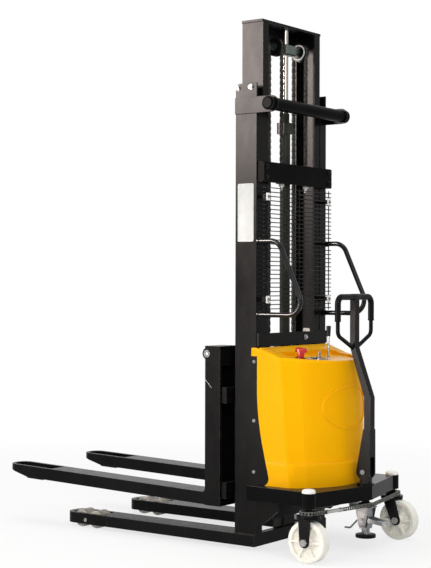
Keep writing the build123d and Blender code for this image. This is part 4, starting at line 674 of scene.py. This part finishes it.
def easeNode(node, width):
    source = frame["nodes"][node]
    piece = bpy.data.objects.new(node + "_eased", source.data.copy())
    bpy.context.scene.collection.objects.link(piece)
    takeUp(piece)
    if piece.data.has_custom_normals:
        bpy.ops.mesh.customdata_custom_splitnormals_clear()
    openOn(piece, "face", lambda centre, normal: True)
    bpy.ops.mesh.remove_doubles(threshold=easing["merge"])
    bpy.ops.mesh.dissolve_limited(angle_limit=radians(easing["flat"]),
                                  use_dissolve_boundaries=False)
    closeUp()
    softEdges(piece, width, easing["segments"], easing["sharp"])
    settle(piece, node + "_eased", source.data.materials[0], easing["smooth"])
    finishWith(piece, "WEIGHTED_NORMAL", keep_sharp=True, weight=easing["weight"])
    fixTo(piece, source["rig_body"])
    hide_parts(node)


for node, width in easedEdges.items():
    easeNode(node, width)
print("eased edges:", len(easedEdges))

# Leaf chains: three plates laced with two, on a pin at every pitch
leafChain = {
    "x": 90.0, "rearY": 6.0, "frontY": -54.0, "rearBottom": 1489.0, "frontBottom": 452.5,
    "top": 1996.0, "pitch": 12.7, "corners": 8, "half": 5.2, "plate": 2.4, "outerGap": 6.2,
    "innerGap": 3.1, "pin": 2.6, "pinLength": 14.8, "blendFrom": 2.0, "smooth": 40,
    "pulleyRadius": 30.0, "wrapLinks": 8,
    "plateLip": (1 / 9, 1 / 16), "pinLip": (1 / 3.5, 1 / 5),  # parts of half and of pin
}
threeGaps = (-leafChain["outerGap"], 0, leafChain["outerGap"])
twoGaps = (-leafChain["innerGap"], leafChain["innerGap"])


def linkPlate(pitch):  # an oval plate in the YZ plane, from one pin to the next
    half = leafChain["half"]
    plate = drum(leafChain["corners"], half, leafChain["plate"], turn=quarterTurn)
    openOn(plate, "point", lambda co: co.z > hairline)
    bpy.ops.transform.translate(value=(0, 0, pitch / 1000))
    closeUp()
    sink(plate, facesSide, [[half * share for share in leafChain["plateLip"]]])
    return plate


def pinStud():
    radius = leafChain["pin"]
    stud = drum(leafChain["corners"], radius, leafChain["pinLength"], turn=quarterTurn)
    sink(stud, facesSide, [[radius * share for share in leafChain["pinLip"]]])
    return stud


def chainModule(pitch):  # two pitches of chain, to be repeated
    places = [Matrix.Translation((x / 1000, 0, 0)) for x in threeGaps]
    places += [Matrix.Translation((x / 1000, 0, pitch / 1000)) for x in twoGaps]
    pins = [Matrix.Translation((0, 0, step * pitch / 1000)) for step in (0, 1)]
    laced = copiesOf(linkPlate(pitch), "laced", places)
    joinUp(laced, copiesOf(pinStud(), "studs", pins))
    return laced


def chainRun(name, x, place):  # from the foot on one body to the pulley on the other
    y, bottom, top = leafChain[place + "Y"], leafChain[place + "Bottom"], leafChain["top"]
    count = round((top - bottom) / (2 * leafChain["pitch"]))
    pitch = (top - bottom) / (2 * count)
    run = chainModule(pitch)
    repeatBy(run, count, (0, 0, 2 * pitch / 1000))
    run.location = spot(x, y, bottom)
    settle(run, name, coats["chain"], leafChain["smooth"])
    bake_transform(run)
    return run


for word, side in handed:
    x = side * leafChain["x"]
    rear = chainRun(word + "_rear_leaf_chain", x, "rear")
    front = chainRun(word + "_front_leaf_chain", x, "front")
    if word == "left":
        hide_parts("rear_chains")
        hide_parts("front_chains")

# The turns over the pulleys, half a circle of links each
wrapStep = pi / leafChain["wrapLinks"]
wrapPitch = 2 * leafChain["pulleyRadius"] * sin(wrapStep / 2)
hubY = (leafChain["rearY"] + leafChain["frontY"]) / 2
platePlaces, studPlaces = [], []
for side in (1, -1):
    hub = spot(side * leafChain["x"], hubY, leafChain["top"])
    for step in range(leafChain["wrapLinks"]):
        angle = step * wrapStep
        foot = Vector((0, cos(angle), sin(angle))) * leafChain["pulleyRadius"] / 1000
        lean = Matrix.Rotation(angle + wrapStep / 2, 4, "X")
        for gap in twoGaps if step % 2 else threeGaps:
            platePlaces.append(Matrix.Translation(hub + foot + Vector((gap / 1000, 0, 0))) @ lean)
        if step:
            studPlaces.append(Matrix.Translation(hub + foot))
wraps = copiesOf(linkPlate(wrapPitch), "wrapPlates", platePlaces)
joinUp(wraps, copiesOf(pinStud(), "wrapStuds", studPlaces))
settle(wraps, "chain_wrap_links", coats["chain"], leafChain["smooth"])
fixTo(wraps, "inner_mast")
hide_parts("chain_wraps")
print("leaf chains laced")

# Steering chain: roller links round the two caster sprockets and the tiller sprocket
steerChain = {
    "casterX": 320.0, "casterY": 284.0, "tillerY": lockY, "radius": 32.0, "z": 188.0,
    "pitch": 12.7, "half": 5.0, "plate": 1.5, "plateCorners": 6, "gap": 6.2, "stagger": 1.5,
    "roller": 3.4, "rollerLength": 14.2, "rollerCorners": 7, "rollerLip": (0.7, 0.5),
    "turnbuckle": (56, 142), "smooth": 40,
}


def steerStretches():  # the straight runs: hub, next hub, outward way, way along and length
    x, y = steerChain["casterX"], steerChain["casterY"]
    hubs = ((x, y), (0.0, steerChain["tillerY"]), (-x, y))
    stretches = []
    for index, hub in enumerate(hubs):
        after = hubs[(index + 1) % len(hubs)]
        length = hypot(after[0] - hub[0], after[1] - hub[1])
        way = ((after[0] - hub[0]) / length, (after[1] - hub[1]) / length)
        stretches.append((hub, after, (way[1], -way[0]), way, length))
    return stretches


def steerPoints():  # every pin's place, and whether the turnbuckle stands there instead
    points = []
    radius, pitch = steerChain["radius"], steerChain["pitch"]
    bareFrom, bareTo = steerChain["turnbuckle"]
    stretches = steerStretches()
    for index, (hub, after, out, way, length) in enumerate(stretches):
        start = (hub[0] + out[0] * radius, hub[1] + out[1] * radius)
        count = max(1, round(length / pitch))
        for step in range(count):
            along = step * length / count
            bare = index == 0 and bareFrom < along < bareTo
            points.append((start[0] + way[0] * along, start[1] + way[1] * along, bare))
        then = stretches[(index + 1) % len(stretches)][2]
        sweep = Vector((out[0] * then[0] + out[1] * then[1], out[0] * then[1] - out[1] * then[0]))
        angle = Vector((1, 0)).angle_signed(sweep)
        angle = -angle if angle < 0 else 2 * pi - angle
        turns = max(1, round(angle * radius / pitch))
        for step in range(turns):
            lean = step * angle / turns
            spoke = (out[0] * cos(lean) - out[1] * sin(lean),
                     out[0] * sin(lean) + out[1] * cos(lean))
            points.append((after[0] + spoke[0] * radius, after[1] + spoke[1] * radius, False))
    return points


pins = steerPoints()
plate = drum(steerChain["plateCorners"], steerChain["half"], steerChain["plate"])
openOn(plate, "point", lambda co: co.x > hairline)
bpy.ops.transform.translate(value=(steerChain["pitch"] / 1000, 0, 0))
closeUp()
roller = drum(steerChain["rollerCorners"], steerChain["roller"], steerChain["rollerLength"])
sink(roller, facesEnd, [steerChain["rollerLip"]])
platePlaces, rollerPlaces = [], []
for index, (x, y, bare) in enumerate(pins):
    if bare:
        continue
    onward = pins[(index + 1) % len(pins)]
    way = Vector((onward[0] - x, onward[1] - y))
    lean = Matrix.Rotation(-Vector((1, 0)).angle_signed(way), 4, "Z")
    grow = Matrix.Diagonal((way.length / steerChain["pitch"], 1, 1, 1))
    gap = steerChain["gap"] - (0.0 if index % 2 else steerChain["stagger"])
    for level in (-gap, gap):
        at = spot(x, y, steerChain["z"] + level)
        platePlaces.append(Matrix.Translation(at) @ lean @ grow)
    rollerPlaces.append(Matrix.Translation(spot(x, y, steerChain["z"])))
links = copiesOf(plate, "steerPlates", platePlaces)
joinUp(links, copiesOf(roller, "steerRollers", rollerPlaces))
settle(links, "steering_chain_links", coats["steerChain"], steerChain["smooth"])
fixTo(links, "chassis")
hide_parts("steering_chain")
print("steering chain:", len(rollerPlaces), "links")

# Hex bolts with washers, modelled once and set down on each body
bolt = {
    "head": 8.0, "height": 5.5, "headCorners": 6, "crown": [(0.9, 0.7), (2.8, 0.0), (0.4, -0.5)],
    "washer": 11.0, "thick": 1.8, "washerCorners": 24, "washerLip": [(0.6, 0.3)],
}


def scaled(steps, size):
    return [(border * size, height * size) for border, height in steps]


def hexBolt(size):
    thick, height = bolt["thick"] * size, bolt["height"] * size
    washer = drum(bolt["washerCorners"], bolt["washer"] * size, thick, at=(0, 0, thick / 2000))
    sink(washer, facesUp, scaled(bolt["washerLip"], size))
    middle = thick / 1000 + height / 2000
    head = drum(bolt["headCorners"], bolt["head"] * size, height, at=(0, 0, middle))
    sink(head, facesUp, scaled(bolt["crown"], size))
    joinUp(washer, head)
    return washer


def rearwards(xs, y, zs):  # seats that face the rear
    return [((x, y, z), (0, 1, 0)) for x in xs for z in zs]


def outwards(x, ys, zs):  # seats on both sides that face away from the middle
    return [((side * x, y, z), (side, 0, 0)) for side in (-1, 1) for y in ys for z in zs]


boltSets = {
    "cross_plate_bolts": {"size": 1.0, "coat": "black", "slot": "black_paint",
                          "seats": rearwards((-234.0, 234.0), 32.0, (1464.0, 1506.0))},
    "guard_clip_bolts": {"size": 0.62, "coat": "bolt",
                         "seats": rearwards((-227.0, 227.0), 36.6, (985.0, 1388.0))},
    "mast_bolts": {"size": 1.12, "coat": "bolt",
                   "seats": outwards(258.0, (-89.0, -27.0), (1818.0,))},
    "gusset_screws": {"size": 0.62, "coat": "dull",
                      "seats": outwards(258.0, (-9.0,), (311.0, 511.0, 742.0))},
    "tie_bolt": {"size": 1.0, "coat": "zinc", "seats": rearwards((-86.0,), 10.0, (829.0,))},
    "tiller_pin_bolts": {"size": 0.9, "coat": "dull", "body": "tiller_base",
                         "seats": outwards(26.4, (lockY,), (313.0,))},
    "pedal_pin_bolts": {"size": 0.6, "coat": "bolt", "seats": outwards(31.0, (lockY,), (132.0,))},
    "leg_pin_bolts": {"size": 0.72, "coat": "dull", "seats": outwards(267.0, (-874.0,), (35.0,))},
}
for name, row in boltSets.items():
    places = [facing(spot(*at), way) for at, way in row["seats"]]
    bolts = copiesOf(hexBolt(row["size"]), name, places)
    settle(bolts, name, coats[row["coat"]])
    fixTo(bolts, row.get("body", "chassis"))
    if name == "mast_bolts":
        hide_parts("mast_fasteners")
print("bolt sets:", len(boltSets))

# Pale clip plates that hold the guard's uprights, under their bolts
clipPlate = {
    "x": 227.0, "y": 33.0, "rows": (985.0, 1388.0), "width": 23.0, "height": 29.0, "thick": 3.6,
    "corner": 3.0, "segments": 3, "edge": [(1.2, 0.6)],
}
clip = block(clipPlate["width"], clipPlate["height"], clipPlate["thick"],
             at=(0, 0, clipPlate["thick"] / 2000))
roundOff(clip, lambda a, b: abs(a.z - b.z) > hairline, clipPlate["corner"], clipPlate["segments"])
sink(clip, facesUp, clipPlate["edge"])
clipSeats = rearwards((-clipPlate["x"], clipPlate["x"]), clipPlate["y"], clipPlate["rows"])
clips = copiesOf(clip, "guard_clips", [facing(spot(*at), way) for at, way in clipSeats])
settle(clips, "guard_clips", coats["cap"])
fixTo(clips, "chassis")

# Bare pale plate on the left post, its field sunk within a border
postPlate = {
    "x": 258.0, "front": -88.0, "rear": -13.0, "bottom": 1212.0, "top": 1440.0, "thick": 1.4,
    "corner": 6.0, "segments": 5, "field": [(3.5, 0.0), (0.8, -0.4)],
}
plateAt = spot(postPlate["x"] + postPlate["thick"] / 2,
               (postPlate["front"] + postPlate["rear"]) / 2,
               (postPlate["bottom"] + postPlate["top"]) / 2)
plate = block(postPlate["thick"], postPlate["rear"] - postPlate["front"],
              postPlate["top"] - postPlate["bottom"], at=plateAt)
roundOff(plate, lambda a, b: abs(a.x - b.x) > hairline,
         postPlate["corner"], postPlate["segments"])
sink(plate, facesLeft, postPlate["field"])
settle(plate, "post_plate", coats["pale"])
fixTo(plate, "chassis")
print("guard clips and post plate set")

# Rings on the pulleys, the load rollers and the ends of the fork shaft: outer, inner, thickness
ringSizes = {"pulley": (31.5, 26.5, 1.4), "roller": (21.0, 9.0, 0.5), "shaft": (15.0, 5.0, 2.5)}
ringShape = {
    "corners": 36, "lip": 0.4, "edge": 0.3, "segments": 1, "sharp": 50,
    "lipDrop": 1 / 2,  # of the thickness, and the grooves are parts of band and thickness
    "grooves": [(1 / 4, 0.0), (1 / 8, -1 / 2.5), (1 / 4, 0.0), (1 / 8, 1 / 3), (1 / 4, 0.0)],
}
shaftEnd = {"x": 303.0, "y": -205.0, "z": 769.0}


def bearingRing(outer, inner, thick):  # a grooved ring, open in the middle and at the back
    band = outer - inner
    piece = drum(ringShape["corners"], outer, thick, at=(0, 0, thick / 2000))
    openOn(piece, "face", facesUp)
    insetBy([(band * across, thick * rise) for across, rise in ringShape["grooves"]])
    insetBy([(ringShape["lip"], -thick * ringShape["lipDrop"])])
    bpy.ops.mesh.delete(type="FACE")
    closeUp()
    openOn(piece, "face", facesDown)
    bpy.ops.mesh.delete(type="FACE")
    closeUp()
    softEdges(piece, ringShape["edge"], ringShape["segments"], ringShape["sharp"])
    return piece


def ringSet(name, kind, seats, body, coat):
    places = [facing(at, way) for at, way in seats]
    rings = copiesOf(bearingRing(*ringSizes[kind]), name, places)
    settle(rings, name, coats[coat])
    fixTo(rings, body)


for word, side in handed:
    low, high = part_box(word + "_pulley")
    centre = (Vector(low) + Vector(high)) / 2
    inner = low[0] if side > 0 else high[0]
    seats = [((inner, centre.y, centre.z), (-side, 0, 0))]
    # the pulley ring takes pale paint in place of steel: a painted highlight standing in for the
    # bright steel rim's reflection
    ringSet(word + "_pulley_ring", "pulley", seats, word + "_pulley", "pale")
    for place in ("front", "rear"):
        low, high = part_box(word + "_" + place + "_load_roller")
        centre = (Vector(low) + Vector(high)) / 2
        seats = [((x, centre.y, centre.z), (way, 0, 0)) for x, way in ((high[0], 1), (low[0], -1))]
        ringSet(word + "_" + place + "_roller_rings", "roller", seats,
                word + "_" + place + "_load_roller", "steel")
shaftSeats = [(spot(side * shaftEnd["x"], shaftEnd["y"], shaftEnd["z"]), (side, 0, 0))
              for side in (-1, 1)]
ringSet("fork_shaft_ends", "shaft", shaftSeats, "carriage", "dull")
print("bearing rings set")

# Cuffs at the ends of the tiller's sleeves, and a sleeve on its bar
gripCuff = {
    "tube": 8.3, "outer": 12.6, "corners": 28, "dish": 1.2, "edge": 1.4, "segments": 3,
    "sharp": 50, "smooth": 40, "length": 7.0, "bottom": 900.5, "x": 128.0, "y": 293.0,
    "barZ": 996.0, "barLength": 63.0,
}


def cuff(length):
    piece = drum(gripCuff["corners"], gripCuff["outer"], length)
    sink(piece, facesEnd, [(gripCuff["outer"] - gripCuff["tube"], -gripCuff["dish"])])
    softEdges(piece, gripCuff["edge"], gripCuff["segments"], gripCuff["sharp"])
    return piece


cuffZ = gripCuff["bottom"] + gripCuff["length"] / 2
cuffSets = {
    "grip_cuffs": {"length": gripCuff["length"], "way": (0, 0, 1),
                   "seats": [(-gripCuff["x"], cuffZ), (gripCuff["x"], cuffZ)]},
    "bar_sleeve": {"length": gripCuff["barLength"], "way": (1, 0, 0),
                   "seats": [(0.0, gripCuff["barZ"])]},
}
for name, row in cuffSets.items():
    places = [facing(spot(x, gripCuff["y"], z), row["way"]) for x, z in row["seats"]]
    cuffs = copiesOf(cuff(row["length"]), name, places)
    settle(cuffs, name, coats["rubber"], gripCuff["smooth"])
    fixTo(cuffs, "tiller")
print("grip cuffs set")

# Rubber pad round the floor lock's foot
lockPad = {
    "radius": 39.8, "height": 13.6, "bottom": 56.7, "corners": 40,
    "crown": [(4.0, 0.0), (2.0, 0.6)], "sole": [(6.0, 0.0), (3.0, -0.1)],
    "edge": 2.2, "segments": 3, "sharp": 60, "smooth": 35,
}
pad = drum(lockPad["corners"], lockPad["radius"], lockPad["height"],
           at=spot(0, lockY, lockPad["bottom"] + lockPad["height"] / 2))
sink(pad, facesUp, lockPad["crown"])
sink(pad, facesDown, lockPad["sole"])
softEdges(pad, lockPad["edge"], lockPad["segments"], lockPad["sharp"])
settle(pad, "floor_lock_pad", coats["rubber"], lockPad["smooth"])
fixTo(pad, "floor_lock_foot")

# Coil spring between the floor lock's body and its foot
lockSpring = {
    "radius": 15.5, "wire": 1.7, "corners": 8, "turns": 4, "steps": 20, "bottom": 71.0,
    "top": 92.5, "merge": 0.00001, "smooth": 60,
}
deselectAll()
bpy.ops.mesh.primitive_circle_add(
    vertices=lockSpring["corners"], radius=lockSpring["wire"] / 1000, fill_type="NGON",
    location=(lockSpring["radius"] / 1000, 0, 0), rotation=(pi / 2, 0, 0))
spring = bpy.context.object
bpy.ops.object.transform_apply(location=True, rotation=True, scale=True)
rise = (lockSpring["top"] - lockSpring["bottom"]) / 1000
finishWith(spring, "SCREW", axis="Z", angle=2 * pi, screw_offset=rise / lockSpring["turns"],
           iterations=lockSpring["turns"], steps=lockSpring["steps"],
           render_steps=lockSpring["steps"])
openOn(spring, "face", lambda centre, normal: True)
bpy.ops.mesh.remove_doubles(threshold=lockSpring["merge"])
bpy.ops.mesh.normals_make_consistent(inside=False)
closeUp()
spring.location = spot(0, lockY, lockSpring["bottom"])
settle(spring, "floor_lock_spring", coats["zinc"], lockSpring["smooth"])
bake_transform(spring)

# Flared cheek plates outside the pedal's arms
lockCheek = {
    "inner": 28.0, "thick": 3.0, "top": 173.0, "bottom": 98.0, "topWidth": 58.0,
    "footWidth": 28.0, "corner": 9.0, "segments": 4,
    "panel": [(4.2, 0.0), (1.2, -0.8), (3.0, 0.0), (1.0, 0.7)],
}
cheek = block(lockCheek["thick"], lockCheek["topWidth"], lockCheek["top"] - lockCheek["bottom"])
openOn(cheek, "point", lambda co: co.z < 0)
bpy.ops.transform.resize(value=(1.0, lockCheek["footWidth"] / lockCheek["topWidth"], 1.0))
closeUp()
roundOff(cheek, lambda a, b: a.z < 0 and b.z < 0 and abs(a.x - b.x) > hairline,
         lockCheek["corner"], lockCheek["segments"])
sink(cheek, facesSide, lockCheek["panel"])
cheekX = lockCheek["inner"] + lockCheek["thick"] / 2
cheekZ = (lockCheek["top"] + lockCheek["bottom"]) / 2
cheekPlaces = [Matrix.Translation(spot(side * cheekX, lockY, cheekZ)) for side in (-1, 1)]
cheeks = copiesOf(cheek, "floor_lock_cheeks", cheekPlaces)
settle(cheeks, "floor_lock_cheeks", coats["bolt"])
fixTo(cheeks, "chassis")

# Ribs on the pedal's tread
treadRib = {
    "width": 46.0, "depth": 3.4, "height": 2.4, "count": 5, "first": 391.0, "last": 427.0,
    "z": 123.0, "sunk": 0.4, "edge": 1.1, "segments": 3, "smooth": 40,
}
rib = block(treadRib["width"], treadRib["depth"], treadRib["height"])
roundOff(rib, lambda a, b: a.z > 0 and b.z > 0, treadRib["edge"], treadRib["segments"])
stride = (treadRib["last"] - treadRib["first"]) / (treadRib["count"] - 1) / 1000
repeatBy(rib, treadRib["count"], (0, stride, 0))
rib.location = spot(0, treadRib["first"], treadRib["z"] + treadRib["height"] / 2 - treadRib["sunk"])
settle(rib, "pedal_ribs", coats["zinc"], treadRib["smooth"])
fixTo(rib, "floor_lock_pedal")
print("floor lock dressed")

# Charge gauge on the control panel: a bezel, and a sunken dial with a raised hub
gauge = {
    "x": 74.0, "y": 152.0, "floor": 750.07, "lean": 5.816, "lift": 3.0, "radius": 12.5,
    "height": 3.2, "corners": 36, "rim": [(1.0, 0.6), (1.0, -1.4)], "dialRadius": 10.4,
    "dialThick": 0.8, "dialDrop": 0.5, "dial": [(1.2, -0.2), (4.6, 0.0), (0.8, 0.8)], "smooth": 35,
}
gaugeSeat = Matrix.Translation(spot(gauge["x"], gauge["y"], gauge["floor"]))
gaugeSeat = gaugeSeat @ Matrix.Rotation(radians(-gauge["lean"]), 4, "X")
bezel = drum(gauge["corners"], gauge["radius"], gauge["height"],
             at=(0, 0, (gauge["lift"] + gauge["height"] / 2) / 1000))
sink(bezel, facesUp, gauge["rim"])
bezel.data.transform(gaugeSeat)
settle(bezel, "gauge_bezel", coats["plastic"], gauge["smooth"])
fixTo(bezel, "chassis")
dial = drum(gauge["corners"], gauge["dialRadius"], gauge["dialThick"],
            at=(0, 0, (gauge["lift"] + gauge["height"] - gauge["dialDrop"]) / 1000))
sink(dial, facesUp, gauge["dial"])
dial.data.transform(gaugeSeat)
settle(dial, "gauge_dial", coats["cap"], gauge["smooth"])
fixTo(dial, "chassis")
print("gauge set")

# Wear shoes under the fork noses
forkShoe = {
    "x": 246.5, "width": 98.0, "length": 92.0, "thick": 5.0, "along": 1002.0, "heelY": -142.0,
    "heelZ": 167.0, "lean": 1.6, "chamfer": 3.5, "segments": 2,
}
lean = radians(forkShoe["lean"])
shoeY = forkShoe["heelY"] - forkShoe["along"] * cos(lean) - forkShoe["thick"] / 2 * sin(lean)
shoeZ = forkShoe["heelZ"] + forkShoe["along"] * sin(lean) - forkShoe["thick"] / 2 * cos(lean)
shoe = block(forkShoe["width"], forkShoe["length"], forkShoe["thick"])
roundOff(shoe, lambda a, b: a.z < 0 and b.z < 0, forkShoe["chamfer"], forkShoe["segments"])
for word, side in handed:
    place = Matrix.Translation(spot(side * forkShoe["x"], shoeY, shoeZ))
    place = place @ Matrix.Rotation(-lean, 4, "X")
    fitted = copiesOf(shoe, word + "_fork_shoe", [place], keep=True)
    settle(fitted, word + "_fork_shoe", coats["black"])
    fixTo(fitted, word + "_fork")
bpy.data.objects.remove(shoe)
print("fork shoes set")

# Weld beads: rows of flattened drops along the joints, given for the left side
weld = {"step": 3.0, "flat": 0.55, "subdivisions": 2, "smooth": 60}
beads = {
    "shank_weld": {"start": (301.0, -215.0, 667.0), "end": (301.0, -183.0, 633.0), "drop": 2.0,
                   "coat": "bolt"},
    "post_weld": {"start": (258.5, -98.0, 63.5), "end": (258.5, -2.0, 63.5), "drop": 3.2,
                  "coat": "black"},
    "leg_weld": {"start": (267.0, -752.0, 22.0), "end": (267.0, -752.0, 61.0), "drop": 2.2,
                 "coat": "black"},
}


def weldBead(name, first, last, drop, body, coat):
    run = last - first
    count = max(2, int(run.length * 1000 / weld["step"]))
    deselectAll()
    bpy.ops.mesh.primitive_ico_sphere_add(subdivisions=weld["subdivisions"], radius=drop / 1000,
                                          location=first)
    bead = bpy.context.object
    bead.scale = (weld["flat"], 1.0, 1.0)
    bpy.ops.object.transform_apply(location=False, rotation=False, scale=True)
    repeatBy(bead, count, run / count)
    settle(bead, name, coats[coat], weld["smooth"])
    fixTo(bead, body)


for word, side in handed:
    for kind, row in beads.items():
        first, last = (spot(side * x, y, z) for x, y, z in (row["start"], row["end"]))
        body = word + "_fork" if kind == "shank_weld" else "chassis"
        weldBead(word + "_" + kind, first, last, row["drop"], body, row["coat"])
print("weld beads laid")
